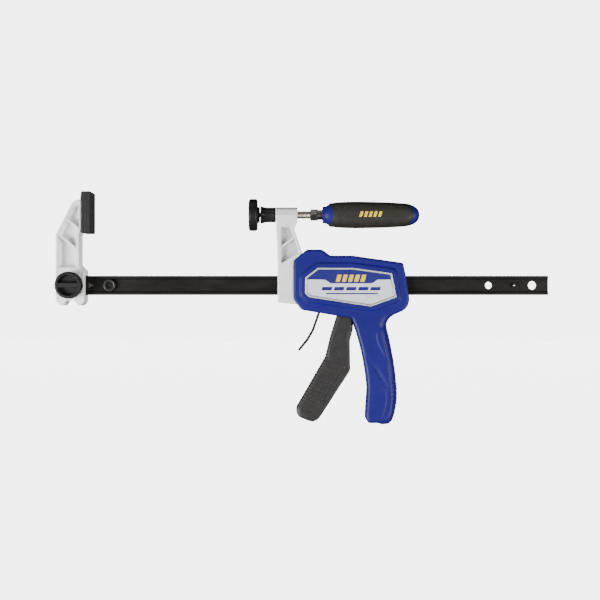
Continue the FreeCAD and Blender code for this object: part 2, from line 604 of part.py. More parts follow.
def make_moving_jaw():
    body = new_body("moving_jaw")
    outline = new_sketch(body, "XZ_Plane")
    draw_named(outline, "arm")
    pad(body, outline, "arm_half * 2", SYMMETRIC)
    rim = value("arm_half")
    soften(body, "arm_edge", lambda e, b: on_face(b, rim) and b.ZMax < -8.9 and b.XMin < value("arm_8_x") - 1)
    for side, reverse in (("arm_half", False), ("-arm_half", True)):
        room = new_sketch(body, "XZ_Plane", side)
        draw_named(room, "arm_pocket")
        pocket(body, room, "arm_half - arm_web", reverse=reverse, taper="-arm_draft")
    rib = new_sketch(body, "XZ_Plane")
    draw(rib, strip(ARM_RIB, "arm_rib_line", "arm_rib / 2"))
    pad(body, rib, "arm_rib_half * 2", SYMMETRIC)
    boss = new_sketch(body, "YZ_Plane", "boss_start")
    draw_circle(boss, "0", "0", "boss_radius")
    pad(body, boss, "boss_length")
    bore = new_sketch(body, "YZ_Plane", "boss_start - 1")
    draw_circle(bore, "0", "0", "nut_radius + head_fit")
    pocket(body, bore, "boss_length + 2", reverse=True)
    slot = new_sketch(body, "YZ_Plane", "boss_start")
    draw_box(slot, "-bar_width / 2 - bar_slide", "bar_top - bar_height - bar_slide",
             "bar_width / 2 + bar_slide", "bar_top + bar_slide")
    pocket(body, slot, "60", reverse=True)
    pins = new_sketch(body, "XZ_Plane")
    for z in ("jaw_pin_high", "jaw_pin_low"):
        draw_circle(pins, "jaw_pin_x", z, "jaw_pin_radius + pivot_fit")
    pocket(body, pins, "jaw_half * 4", SYMMETRIC)

    round_profile("screw_nut", [
        ("nut_start", "screw_radius + thread_fit"), ("nut_start", "nut_radius"), ("nut_end", "nut_radius"),
        ("nut_end", "screw_radius + thread_fit"),
    ])
    for label, z in (("jaw_pin_high", "jaw_pin_high"), ("jaw_pin_low", "jaw_pin_low")):
        y_bar(label, "jaw_pin_x", z, "jaw_pin_radius", "-pin_reach", "pin_reach")


# ---------------------------------------------------------------- clamping screw and its handle

def make_screw():
    """Screw with a ball end, and the parts that turn with it."""
    body = new_body("screw_rod")
    stem = new_sketch(body, "XY_Plane")
    draw(stem, [
        ("ball_x", "0"), ("ball_x", "ball_neck"), ("screw_start - 1.2", "ball_neck"),
        ("screw_start", "screw_radius"), ("screw_end - 1", "screw_radius"), ("screw_end", "screw_radius - 1"),
        ("screw_end", "0"),
    ])
    turned(body, stem)
    sphere(body, "Additive", "ball_x", "ball_radius")

    neck = round_profile("screw_neck", [
        ("neck_start", "screw_radius + thread_fit"), ("neck_start", "neck_flange - 0.6"),
        ("neck_start + 0.6", "neck_flange"), ("neck_start + 1.2", "neck_flange"),
        ("neck_start + 5.4", "neck_waist + 0.3", "-40"), ("neck_end - 2", "neck_tail"),
        ("neck_end", "neck_tail"), ("neck_end", "screw_radius + thread_fit"),
    ])
    flute = new_sketch(neck, "YZ_Plane", "flute_start")
    draw_circle(flute, "0", "flute_offset + flute_radius", "flute_radius")
    cut = feature(neck, "Pocket", flute, "neck_end - flute_start + 1", reverse=True)
    ring = neck.newObject("PartDesign::PolarPattern", "flutes")
    ring.Originals = [cut]
    ring.Axis = (plane_of(neck, "X_Axis"), [""])
    ring.Angle = 360
    bind(ring, "Occurrences", "flute_count")
    neck.Tip = ring

    collar = new_body("hex_collar")
    section = new_sketch(collar, "YZ_Plane", "collar_start")
    draw_hexagon(section, "0", "0", "collar_across")
    pad(collar, section, "collar_length")
    bore = new_sketch(collar, "YZ_Plane", "collar_start - 1")
    draw_circle(bore, "0", "0", "screw_radius + thread_fit")
    pocket(collar, bore, "collar_length + 2", reverse=True)
    soften(collar, "0.7", lambda e, b: b.XLength < 1e-6 and b.YLength + b.ZLength > 6 and reach_of(b) > 5.5)

    start = "collar_start + collar_length"
    step, dip = "ferrule_length / 5", "ferrule_radius - ferrule_groove"
    corners = [(start, "screw_radius + thread_fit"), (start, "ferrule_radius")]
    for number in (1, 3):
        edge, far_edge = f"{start} + {step} * {number}", f"{start} + {step} * {number + 1}"
        corners += [(edge, "ferrule_radius"), (edge, dip), (far_edge, dip), (far_edge, "ferrule_radius")]
    end = f"{start} + ferrule_length - 0.05"
    corners += [(end, "ferrule_radius"), (end, "screw_radius + thread_fit")]
    round_profile("handle_ferrule", corners)


def reach_of(box):
    """Distance of the far corner of an edge's box from the X axis."""
    return max(math.hypot(y, z) for y in (box.YMin, box.YMax) for z in (box.ZMin, box.ZMax))


def make_handle():
    inner = "screw_radius + thread_fit"
    round_profile("handle_core", [
        ("handle_start", inner), ("handle_start", "core_collar - 0.8"), ("handle_start + 0.8", "core_collar"),
        ("handle_start + 4", "core_collar"), ("grip_start - 0.3", "core_shoulder"),
        ("grip_start - 0.3", "core_radius"), ("grip_end + 0.1", "core_radius"),
        ("grip_end + 0.1", "dome_radius", "14"), ("handle_end", "0"), ("screw_end + 0.5", "0"),
        ("screw_end + 0.5", inner),
    ])
    round_profile("handle_grip", [
        ("grip_start", "core_radius + thread_fit"), ("grip_start", "grip_front - 0.6"),
        ("grip_start + 0.6", "grip_front", "230"), ("grip_belly_x", "grip_belly", "950"),
        ("grip_taper_x", "grip_taper", "170"), ("grip_end", "grip_tail"),
        ("grip_end", "core_radius + thread_fit"),
    ])


def make_swivel():
    """Swivel pad: a cup on the ball, a ring that keeps it in, and the round pad with its face."""
    cup = new_body("ball_cup")
    sphere(cup, "Additive", "ball_x", "cup_outer")
    trim = new_sketch(cup, "YZ_Plane", "cup_end")
    draw_circle(trim, "0", "0", "cup_outer * 2")
    pocket(cup, trim, "cup_outer * 2", reverse=True)
    sphere(cup, "Subtractive", "ball_x", "ball_radius + cup_fit")

    round_profile("retaining_ring", [
        ("ring_start", "ring_inner"), ("ring_start", "ring_outer"),
        ("ring_start + ring_thickness", "ring_outer"), ("ring_start + ring_thickness", "ring_inner"),
    ])

    back = "swivel_face + swivel_thickness"
    disc = round_profile("swivel_pad", [
        ("swivel_face", "0"), ("swivel_face", "swivel_radius - swivel_edge", "swivel_edge * 1.001"),
        ("swivel_face + swivel_edge", "swivel_radius"),
        (f"{back} - swivel_edge", "swivel_radius", "swivel_edge * 1.001"),
        (back, "swivel_radius - swivel_edge"), (back, "hub_radius + 1.5"), (f"{back} + 0.8", "hub_radius"),
        ("hub_end", "hub_radius"), ("hub_end", "0"),
    ])
    sphere(disc, "Subtractive", "ball_x", "socket_radius")
    for start, end, radius in (
        ("ring_room_start", "ring_room_end", "ring_room_radius"),
        ("ring_room_start", "hub_end + 1", "lip_radius"),
        ("swivel_face - 1", "swivel_face + face_thickness", "face_radius + thread_fit"),
    ):
        room = new_sketch(disc, "YZ_Plane", start)
        draw_circle(room, "0", "0", radius)
        pocket(disc, room, f"{end} - ({start})", reverse=True)

    face = new_body("pad_face")
    disc_sketch = new_sketch(face, "YZ_Plane", "swivel_face")
    draw_circle(disc_sketch, "0", "0", "face_radius")
    pad(face, disc_sketch, "face_thickness - 0.05")
    for step in GROOVE_STEPS:
        groove = new_sketch(face, "YZ_Plane", "swivel_face")
        middle = f"{step} * groove_pitch"
        draw_box(groove, f"{middle} - groove_width / 2", "-face_radius * 1.2", f"{middle} + groove_width / 2",
                 "face_radius * 1.2")
        pocket(face, groove, "groove_depth", reverse=True)


# ---------------------------------------------------------------- housing

def inset(corners, distance):
    """The corners of a clockwise outline moved inwards by a distance."""
    moved = []
    count = len(corners)
    for i in range(count):
        (x0, z0), (x1, z1), (x2, z2) = (corners[(i + k) % count][:2] for k in (-1, 0, 1))
        a, b = math.atan2(z1 - z0, x1 - x0), math.atan2(z2 - z1, x2 - x1)
        turn = (b - a + math.pi) % (2 * math.pi) - math.pi
        middle = a + turn / 2
        reach = distance / math.cos(turn / 2)
        moved.append((x1 + math.sin(middle) * reach, z1 - math.cos(middle) * reach))
    return moved


def put_outline(name, corners):
    """Writes worked-out corners into the sheet and gives their expressions."""
    for i, (x, z) in enumerate(corners):
        put(f"{name}_{i}_x", x)
        put(f"{name}_{i}_z", z)
    doc.recompute()
    return [(f"{name}_{i}_x", f"{name}_{i}_z") for i in range(len(corners))]


def make_shell(label, sign):
    """One half of the housing. sign is 1 for the half at y < 0 and -1 for the other one."""
    body = new_body(label)
    inward = sign < 0

    def level(height):
        """Offset of a sketch plane at a height above the seam, on this half's side."""
        return height if sign > 0 else f"-({height})"

    outline = new_sketch(body, "XZ_Plane", level("seam"))
    draw_named(outline, "housing")
    pad(body, outline, "shell_half - seam", reverse=inward)
    rim = value("shell_half")
    soften(body, "shell_corner", lambda e, b: upright(e, b) and b.XMin > value("housing_0_x") + 0.5)
    soften(body, "shell_round", lambda e, b: on_face(b, rim) and b.XMax > value("housing_0_x") + 0.01)

    for name, depth in (("cavity", "shell_half - shell_wall"), ("mouth", "arm_half + mouth_fit"),
                        ("grip_room", "grip_hollow"), ("trigger_way", "shell_open")):
        hollow = new_sketch(body, "XZ_Plane")
        draw_named(hollow, name)
        pocket(body, hollow, depth, reverse=not inward)
    ways = (("lever_slot_front", "lever_slot_low", "lever_slot_back", "lever_slot_high", "lever_slot_half"),
            ("guide_start + 4", "bar_top - bar_height - bar_way", "guide_start + 25", "bar_top + bar_way",
             "bar_width / 2 + bar_way"))
    for low_x, low_z, high_x, high_z, depth in ways:
        way = new_sketch(body, "XZ_Plane")
        draw_box(way, low_x, low_z, high_x, high_z)
        pocket(body, way, depth, reverse=not inward)

    posts = new_sketch(body, "XZ_Plane", level("seam"))
    for i in range(len(SHELL_SCREWS)):
        draw_circle(posts, f"shell_screw_{i}_x", f"shell_screw_{i}_z", "boss_outer")
    pad(body, posts, "shell_half - label_recess - seam - post_gap", reverse=inward)
    seat = new_sketch(body, "XZ_Plane", level("seam"))
    draw_box(seat, "seat_x", "seat_low", "seat_x + seat_thickness", "seat_high")
    pad(body, seat, "shell_half - label_recess - seam - post_gap", reverse=inward)

    blind = new_sketch(body, "XZ_Plane")
    draw_circle(blind, "jaw_pin_x", "jaw_pin_high", "jaw_pin_radius + pivot_fit")
    draw_circle(blind, "jaw_pin_x", "jaw_pin_low", "jaw_pin_radius + pivot_fit")
    draw_circle(blind, "trigger_pivot_x", "trigger_pivot_z", "pivot_radius + pivot_fit")
    draw_circle(blind, "release_pivot_x", "release_pivot_z", "release_pin_radius + pivot_fit")
    pocket(body, blind, "pin_reach + pivot_fit", reverse=not inward)

    bores = new_sketch(body, "XZ_Plane")
    bore_radius = "boss_pilot" if sign > 0 else "boss_clear"
    for i in range(len(SHELL_SCREWS)):
        draw_circle(bores, f"shell_screw_{i}_x", f"shell_screw_{i}_z", bore_radius)
    pocket(body, bores, "-shell_screw_tip + 1" if sign > 0 else "shell_half + 1", reverse=not inward)
    if sign < 0:
        recess = new_sketch(body, "XZ_Plane", level("shell_half + 1"))
        for i in range(len(SHELL_SCREWS)):
            draw_circle(recess, f"shell_screw_{i}_x", f"shell_screw_{i}_z", "head_recess")
        pocket(body, recess, "head_recess_depth + 1", reverse=True)
    room = new_sketch(body, "XZ_Plane", level("shell_half + 1"))
    draw(room, LABEL_ROOM)
    pocket(body, room, "label_recess + 1", reverse=inward)


def make_label(label, sign):
    """Framed plate that sits in the recess of one shell."""
    body = new_body(label)
    base = "shell_half - label_recess + 0.05"
    plane = new_sketch(body, "XZ_Plane", base if sign > 0 else f"-({base})")
    draw_named(plane, "label")
    pad(body, plane, "label_thickness", reverse=sign < 0)
    top = f"{base} + label_thickness"
    field = new_sketch(body, "XZ_Plane", top if sign > 0 else f"-({top})")
    draw(field, LABEL_FIELD)
    pocket(body, field, "label_field", reverse=sign < 0)


def make_housing_hardware():
    screws = new_body("housing_screws")
    base = "shell_half - head_recess_depth + 0.05"
    heads = new_sketch(screws, "XZ_Plane", f"-({base})")
    shanks = new_sketch(screws, "XZ_Plane", "-shell_screw_tip")
    for i in range(len(SHELL_SCREWS)):
        draw_circle(heads, f"shell_screw_{i}_x", f"shell_screw_{i}_z", "shell_screw_head")
        draw_circle(shanks, f"shell_screw_{i}_x", f"shell_screw_{i}_z", "shell_screw_radius")
    screws.AllowCompound = True
    pad(screws, heads, "shell_head_height", reverse=True)
    pad(screws, shanks, f"-shell_screw_tip + {base} + 0.1", reverse=True)
    cross = ("shell_screw_slot", "shell_screw_head * 1.3")
    for width, height in (cross, reversed(cross)):
        slots = new_sketch(screws, "XZ_Plane", f"-({base} + shell_head_height)")
        for i in range(len(SHELL_SCREWS)):
            x, z = f"shell_screw_{i}_x", f"shell_screw_{i}_z"
            draw_box(slots, f"{x} - {width} / 2", f"{z} - {height} / 2", f"{x} + {width} / 2",
                     f"{z} + {height} / 2")
        pocket(screws, slots, "slot_depth", reverse=True)

    guide = new_body("rear_bar_guide")
    block = new_sketch(guide, "XZ_Plane")
    draw_box(block, "guide_start", "guide_low", "guide_start + guide_length", "guide_high")
    pad(guide, block, "(shell_half - shell_wall - 0.05) * 2", SYMMETRIC)
    soften(guide, "1.5", lambda e, b: b.XLength > 5, "Chamfer")
    slot = new_sketch(guide, "YZ_Plane", "guide_start - 1")
    draw_box(slot, "-bar_width / 2 - guide_fit", "bar_top - bar_height - guide_fit",
             "bar_width / 2 + guide_fit", "bar_top + guide_fit")
    pocket(guide, slot, "guide_length + 2", reverse=True)

    for pin, pivot, radius in (("trigger_pivot_pin", "trigger_pivot", "pivot_radius"),
                               ("release_pin", "release_pivot", "release_pin_radius")):
        y_bar(pin, f"{pivot}_x", f"{pivot}_z", radius, "-pin_reach", "pin_reach")


# ---------------------------------------------------------------- trigger, drive lever and release lever

def make_trigger():
    arm = new_body("trigger_arm")
    fork = new_sketch(arm, "XZ_Plane")
    draw_box(fork, "fork_front", "fork_low", "fork_back", "trigger_pivot_z")
    pad(arm, fork, "fork_half * 2", SYMMETRIC)
    eye = new_sketch(arm, "XZ_Plane")
    draw_circle(eye, "trigger_pivot_x", "trigger_pivot_z", "fork_radius")
    pad(arm, eye, "fork_half * 2", SYMMETRIC)
    core = new_sketch(arm, "XZ_Plane")
    draw_named(core, "trigger_core")
    pad(arm, core, "core_half * 2", SYMMETRIC)
    slot = new_sketch(arm, "YZ_Plane", "fork_front - 5")
    draw_box(slot, "-fork_slot", "fork_crotch", "fork_slot", "-40")
    pocket(arm, slot, "40", reverse=True)
    hole = new_sketch(arm, "XZ_Plane")
    draw_circle(hole, "trigger_pivot_x", "trigger_pivot_z", "pivot_radius + pivot_fit")
    pocket(arm, hole, "fork_half * 4", SYMMETRIC)

    grip = new_body("trigger_grip")
    outline = new_sketch(grip, "XZ_Plane")
    draw_named(outline, "trigger")
    pad(grip, outline, "trigger_half * 2", SYMMETRIC)
    rim = value("trigger_half")
    soften(grip, "1.5", lambda e, b: upright(e, b) and b.ZMax < value("trigger_0_z") - 0.01)
    soften(grip, "trigger_round", lambda e, b: on_face(b, rim) and b.ZMin < value("trigger_0_z") - 0.01)
    room = new_sketch(grip, "XZ_Plane")
    draw(room, CORE_ROOM)
    pocket(grip, room, "(core_half + trigger_fit) * 2", SYMMETRIC)


def make_drive():
    """Drive lever: two plates around the bar, pushed by the trigger against the drive spring."""
    body = new_body("drive_lever")
    plate = new_sketch(body, "XZ_Plane")
    draw_box(plate, "drive_start", "drive_low", "drive_start + drive_plate * 2", "drive_high")
    pad(body, plate, "drive_half * 2", SYMMETRIC)
    soften(body, "2", lambda e, b: b.XLength > 5)
    slot = new_sketch(body, "YZ_Plane", "drive_start - 1")
    draw_box(slot, "-bar_width / 2 - drive_hole_fit", "bar_top - bar_height - drive_hole_fit",
             "bar_width / 2 + drive_hole_fit", "bar_top + drive_hole_fit")
    pocket(body, slot, "drive_plate * 4", reverse=True)
    seam = new_sketch(body, "YZ_Plane", "drive_start + drive_plate - 0.2")
    draw(seam, [("-drive_half - 1", "drive_low - 1"), ("drive_half + 1", "drive_low - 1"),
                ("drive_half + 1", "drive_low + 1"), ("-drive_half - 1", "drive_low + 1")])
    pocket(body, seam, "0.4", reverse=True)
    coil("drive_spring", "drive_start + drive_plate * 2 + drive_spring_wire + 0.1",
         "guide_start - drive_spring_wire - 0.1", "drive_spring_radius", "drive_spring_wire",
         "drive_spring_turns", "bar_top - bar_height / 2")


def coil(label, start, end, radius, wire, turns, z):
    """A compression spring along X around the line at height z."""
    body = new_body(label)
    section = new_sketch(body, "XY_Plane")
    draw_circle(section, start, radius, wire)
    helix = body.newObject("PartDesign::AdditiveHelix", "helix")
    helix.Profile = section
    helix.ReferenceAxis = (plane_of(body, "X_Axis"), [""])
    helix.Mode = "height-turns-angle"
    bind(helix, "Height", f"({end}) - ({start})")
    bind(helix, "Turns", turns)
    body.Placement = Placement(Vector(0, 0, value(z)), Rotation())
    bind(body, "Placement.Base.z", z)
    doc.recompute()


def make_release():
    body = new_body("release_lever")
    line = new_sketch(body, "XZ_Plane")
    draw(line, RELEASE_STRIP)
    pad(body, line, "release_half * 2", SYMMETRIC)
    soften(body, "1", lambda e, b: upright(e, b) and b.ZMax < value("release_4_z") + 2)
    eye = new_sketch(body, "XZ_Plane")
    draw_circle(eye, "release_pivot_x", "release_pivot_z", "release_eye")
    pad(body, eye, "release_half * 2", SYMMETRIC)
    hole = new_sketch(body, "XZ_Plane")
    draw_circle(hole, "release_pivot_x", "release_pivot_z", "release_pin_radius + pivot_fit")
    pocket(body, hole, "release_half * 4", SYMMETRIC)
    slot = new_sketch(body, "YZ_Plane", "release_4_x")
    draw_box(slot, "-release_hole_half", "release_hole_low", "release_hole_half", "release_hole_high")
    pocket(body, slot, "80", reverse=True)
    coil("release_spring", "release_spring_start", "seat_x - release_spring_wire - 0.1",
         "release_spring_radius", "release_spring_wire", "release_spring_turns", "release_spring_z")


def strip_outline(points, half):
    """Both sides of a bent strip about a centreline, as one outline."""
    sides = []
    for direction in (1, -1):
        side = []
        for i, (x, z) in enumerate(points):
            before, after = points[max(i - 1, 0)], points[min(i + 1, len(points) - 1)]
            runs = ((before, (x, z)), ((x, z), after))
            ahead = [math.atan2(b[1] - a[1], b[0] - a[0]) for a, b in runs if a != b]
            middle = sum(ahead) / len(ahead)
            reach = direction * half / math.cos((ahead[-1] - ahead[0]) / 2)
            side.append((x - math.sin(middle) * reach, z + math.cos(middle) * reach))
        sides.append(side)
    return sides[0] + sides[1][::-1]


fill_sheet()
label_corners = OUTLINES["label"]
LABEL_ROOM = put_outline("label_room", inset(label_corners, -value("label_fit")))
LABEL_FIELD = put_outline("label_field_edge", inset(label_corners, value("label_rim")))
core_corners = OUTLINES["trigger_core"][::-1]
CORE_ROOM = put_outline("core_room", inset(core_corners, -value("trigger_fit")))
RELEASE_STRIP = put_outline("release_side", strip_outline(RELEASE_LINE, value("release_plate / 2")))

make_bar()
make_stops()
make_fixed_jaw()
make_fixed_pad()
make_knob()
make_moving_jaw()
make_screw()
make_handle()
make_swivel()
make_shell("housing_near", 1)
make_shell("housing_far", -1)
make_label("label_plate_near", 1)
make_label("label_plate_far", -1)
make_housing_hardware()
make_trigger()
make_drive()
make_release()

doc.recompute()
os.makedirs("parts", exist_ok=True)
for label, item in nodes.items():
    for child in [item] + list(getattr(item, "Group", [])):
        if "Invalid" in child.State or "Error" in child.State:
            raise RuntimeError(f"{label}: {child.Name} failed to build")
    if item.Shape.isNull() or not item.Shape.isValid():
        raise RuntimeError(f"{label} has no valid shape")
    item.Shape.exportStep(f"parts/{label}.step")
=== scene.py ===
"""Looks for the one-handed bar clamp, in the frame of its CAD model. Outlines are in millimetres."""
import math

import bmesh
import bpy
import numpy as np
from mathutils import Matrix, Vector
from mathutils.geometry import delaunay_2d_cdt


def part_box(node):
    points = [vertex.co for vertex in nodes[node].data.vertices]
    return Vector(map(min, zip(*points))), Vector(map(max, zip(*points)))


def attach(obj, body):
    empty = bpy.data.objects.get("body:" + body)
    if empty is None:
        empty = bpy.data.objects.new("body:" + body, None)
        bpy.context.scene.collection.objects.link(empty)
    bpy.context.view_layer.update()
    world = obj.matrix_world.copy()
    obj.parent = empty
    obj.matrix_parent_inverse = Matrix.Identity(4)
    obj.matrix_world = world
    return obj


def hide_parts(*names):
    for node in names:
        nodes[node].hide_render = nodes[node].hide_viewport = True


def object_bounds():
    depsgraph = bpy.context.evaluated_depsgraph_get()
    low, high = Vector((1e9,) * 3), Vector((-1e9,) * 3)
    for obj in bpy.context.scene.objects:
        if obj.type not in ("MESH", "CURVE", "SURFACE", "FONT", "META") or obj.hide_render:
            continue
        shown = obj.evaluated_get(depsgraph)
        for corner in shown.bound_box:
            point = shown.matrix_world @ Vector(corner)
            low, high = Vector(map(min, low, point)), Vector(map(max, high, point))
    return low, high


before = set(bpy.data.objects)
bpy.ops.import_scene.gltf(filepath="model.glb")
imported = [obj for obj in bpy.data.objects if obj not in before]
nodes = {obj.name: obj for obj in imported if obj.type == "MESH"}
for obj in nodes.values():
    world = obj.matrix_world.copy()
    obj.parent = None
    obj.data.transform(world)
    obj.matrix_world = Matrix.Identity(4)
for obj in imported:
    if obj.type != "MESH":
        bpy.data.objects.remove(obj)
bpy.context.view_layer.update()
MM = 0.001
MIRROR = np.array([1, -1, 1])
# Points measured at a time, which bounds the memory used.
CHUNK = 4000
# Share of the fine patches in a surface's tone.
MOTTLING = 0.4


# ---------------------------------------------------------------- materials

def add(tree, kind, **settings):
    """A new shader node. Settings that name an input are set on it, the others on the node."""
    node = tree.nodes.new(kind)
    for key, value in settings.items():
        name = key.replace("_", " ")
        if name in node.inputs:
            node.inputs[name].default_value = value
        else:
            setattr(node, key, value)
    return node


def noise(tree, coords, per_metre, detail=3.0, roughness=0.55):
    """A noise texture's value."""
    texture = add(tree, "ShaderNodeTexNoise", Scale=per_metre, Detail=detail, Roughness=roughness)
    tree.links.new(coords, texture.inputs["Vector"])
    return texture.outputs["Fac"]


def ranged(tree, factor, low, high, start=0.3, end=0.7):
    """A value brought from one range into another."""
    node = add(tree, "ShaderNodeMapRange")
    for name, value in (("From Min", start), ("From Max", end), ("To Min", low), ("To Max", high)):
        node.inputs[name].default_value = value
    tree.links.new(factor, node.inputs["Value"])
    return node.outputs["Result"]


def blended(tree, factor, first, second):
    """A colour between two colours, each a tuple or an output."""
    node = add(tree, "ShaderNodeMix", data_type="RGBA")
    tree.links.new(factor, node.inputs["Factor"])
    for name, colour in (("A", first), ("B", second)):
        socket = next(i for i in node.inputs if i.name == name and i.type == "RGBA")
        if isinstance(colour, tuple):
            socket.default_value = (*colour, 1.0)
        else:
            tree.links.new(colour, socket)
    return next(o for o in node.outputs if o.type == "RGBA")


def bumped(tree, height, depth, strength, below=None):
    """A surface normal bent by a height."""
    node = add(tree, "ShaderNodeBump", Strength=strength, Distance=depth)
    tree.links.new(height, node.inputs["Height"])
    if below is not None:
        tree.links.new(below, node.inputs["Normal"])
    return node.outputs["Normal"]


def stretched(tree, coords, scale):
    """Coordinates scaled along each axis."""
    node = add(tree, "ShaderNodeMapping")
    node.inputs["Scale"].default_value = scale
    tree.links.new(coords, node.inputs["Vector"])
    return node.outputs["Vector"]


def finish_material(name, dark, light, rough, metallic=0.0, grain=(900, 0.00006, 0.5), tone=90, stretch=None,
                    specular=0.5, scratches=0.0, painted_recess_shade=None):
    """A moulded, cast, plated or painted surface: tone and gloss that vary, a fine grain, and scratches.

    dark and light are the tone's two ends, rough the roughness's. tone is the noise's scale in patches per
    metre, and grain is (scale, depth, strength). The last argument is (start, end, factor) and paints shade
    into recesses: from y = 0 as far as start the colour is dark times factor, and beyond end it is the plain
    colour.
    """
    material = bpy.data.materials.new(name)
    material.use_nodes = True
    tree = material.node_tree
    shader = tree.nodes["Principled BSDF"]
    shader.inputs["Metallic"].default_value = metallic
    shader.inputs["Specular IOR Level"].default_value = specular
    coords = add(tree, "ShaderNodeTexCoord").outputs["Object"]
    if stretch:
        coords = stretched(tree, coords, stretch)
    large = noise(tree, coords, tone, 4.0)
    small = noise(tree, coords, tone * 9, 2.0)
    tone_mix = add(tree, "ShaderNodeMath", operation="MULTIPLY_ADD")
    tone_mix.inputs[1].default_value = MOTTLING
    tree.links.new(small, tone_mix.inputs[0])
    tree.links.new(ranged(tree, large, 0.0, 1.0 - MOTTLING), tone_mix.inputs[2])
    colour = blended(tree, tone_mix.outputs[0], dark, light)
    normal = bumped(tree, noise(tree, coords, grain[0], 4.0, 0.6), grain[1], grain[2])
    gloss = ranged(tree, noise(tree, coords, tone * 2.3, 4.0), rough[0], rough[1])
    if scratches:
        lines = add(tree, "ShaderNodeTexNoise", Scale=1.0, Detail=3.0)
        tree.links.new(stretched(tree, coords, (60, 2600, 2600)), lines.inputs["Vector"])
        marks = ranged(tree, lines.outputs["Fac"], 0.0, scratches, 0.62, 0.78)
        colour = blended(tree, marks, colour, tuple(min(1.0, c * 2.2 + 0.05) for c in light))
        normal = bumped(tree, lines.outputs["Fac"], 0.00002, 0.35, normal)
    # Painted shade: the colour darkens towards y = 0, the depth of the pocket floors, standing in for the
    # shade in the recesses.
    if painted_recess_shade:
        split = add(tree, "ShaderNodeSeparateXYZ")
        tree.links.new(add(tree, "ShaderNodeTexCoord").outputs["Object"], split.inputs[0])
        depth = add(tree, "ShaderNodeMath", operation="ABSOLUTE")
        tree.links.new(split.outputs["Y"], depth.inputs[0])
        unshaded = ranged(tree, depth.outputs[0], 0.0, 1.0, painted_recess_shade[0], painted_recess_shade[1])
        colour = blended(tree, unshaded, tuple(c * painted_recess_shade[2] for c in dark), colour)
    tree.links.new(colour, shader.inputs["Base Color"])
    tree.links.new(gloss, shader.inputs["Roughness"])
    tree.links.new(normal, shader.inputs["Normal"])
    return material


CAST = finish_material("cast_aluminium_skin", (0.72, 0.72, 0.725), (0.90, 0.90, 0.905), (0.34, 0.48),
                       metallic=0.3, grain=(700, 0.00009, 0.6), tone=60)
# The arm's casting, with painted shade darkening its pocket floors near y = 0.
SHADED_ARM_CAST = finish_material("arm_casting_painted_shade", (0.68, 0.68, 0.685), (0.86, 0.86, 0.865), (0.32, 0.46),
                           metallic=0.3, grain=(700, 0.00009, 0.6), tone=60, painted_recess_shade=(0.0045, 0.0075, 0.85))
BAR_PAINT = finish_material("bar_paint", (0.0028, 0.0024, 0.0021), (0.0065, 0.0057, 0.0050), (0.34, 0.5),
                            grain=(1400, 0.00004, 0.5), tone=50, stretch=(0.25, 1, 1), specular=0.22,
                            scratches=0.05)
BLACK_STEEL = finish_material("black_oxide", (0.004, 0.004, 0.004), (0.010, 0.010, 0.010), (0.36, 0.5),
                              metallic=0.1, grain=(1500, 0.00003, 0.5), tone=140, specular=0.22)
BLACK_PLASTIC = finish_material("black_nylon", (0.004, 0.004, 0.004), (0.009, 0.009, 0.009), (0.42, 0.58),
                                grain=(1500, 0.00006, 0.55), tone=120, specular=0.22)
SOFT_PAD = finish_material("pad_elastomer", (0.008, 0.008, 0.008), (0.015, 0.015, 0.015), (0.55, 0.72),
                           grain=(1900, 0.00007, 0.6), tone=150, specular=0.2)
GRIP_RUBBER = finish_material("handle_elastomer", (0.0105, 0.0094, 0.0080), (0.0195, 0.0175, 0.0150),
                              (0.46, 0.62), grain=(2100, 0.00006, 0.6), tone=130, specular=0.2)
TRIGGER_PLASTIC = finish_material("trigger_nylon", (0.011, 0.0105, 0.0103), (0.021, 0.020, 0.0196),
                                  (0.42, 0.56), grain=(1700, 0.00006, 0.6), tone=110, specular=0.22)
BLUE = finish_material("blue_moulding", (0.0068, 0.0052, 0.088), (0.0094, 0.0072, 0.115), (0.38, 0.50),
                       grain=(1300, 0.00004, 0.45), tone=45, specular=0.15)
ZINC = finish_material("bright_zinc", (0.40, 0.38, 0.35), (0.64, 0.61, 0.57), (0.30, 0.44), metallic=1.0,
                       grain=(2200, 0.00002, 0.4), tone=220, stretch=(1, 0.3, 1))
DULL_ZINC = finish_material("dull_zinc", (0.15, 0.14, 0.125), (0.30, 0.28, 0.255), (0.24, 0.40), metallic=1.0,
                            grain=(2200, 0.00002, 0.4), tone=220)
WIRE = finish_material("spring_wire", (0.40, 0.40, 0.42), (0.62, 0.62, 0.64), (0.25, 0.4), metallic=1.0,
                       grain=(2400, 0.00002, 0.4), tone=260)
LEVER_STEEL = finish_material("lever_steel", (0.006, 0.005, 0.005), (0.014, 0.013, 0.012), (0.38, 0.55),
                              grain=(2000, 0.00003, 0.5), tone=160, specular=0.22, scratches=0.1)
FRAME_SILVER = finish_material("frame_silver", (0.52, 0.52, 0.54), (0.68, 0.68, 0.71), (0.24, 0.36),
                               metallic=0.55, grain=(2400, 0.00002, 0.4), tone=180)
FIELD_SILVER = finish_material("field_silver", (0.52, 0.53, 0.57), (0.66, 0.67, 0.72), (0.34, 0.46),
                               metallic=0.2, grain=(2600, 0.00001, 0.4), tone=100, stretch=(0.3, 1, 1))
FIELD_BLUE = finish_material("field_blue", (0.0070, 0.0062, 0.100), (0.0095, 0.0085, 0.120), (0.3, 0.4),
                             grain=(2600, 0.00001, 0.3), tone=80)
KEYLINE = finish_material("key_line", (0.010, 0.010, 0.016), (0.022, 0.022, 0.032), (0.4, 0.5), tone=200)
GOLD = finish_material("gold_print", (0.52, 0.36, 0.002), (0.64, 0.46, 0.003), (0.45, 0.6), tone=200)
# Lighter steel for the stop ring's bead: a painted highlight.
HIGHLIGHT_STEEL = finish_material("steel_with_painted_highlight", (0.012, 0.012, 0.012), (0.032, 0.032, 0.032), (0.35, 0.5),
                             metallic=0.3, grain=(2000, 0.00003, 0.5), tone=300)
MARK_GREY = finish_material("grey_print", (0.035, 0.034, 0.032), (0.06, 0.058, 0.055), (0.45, 0.6), tone=200)

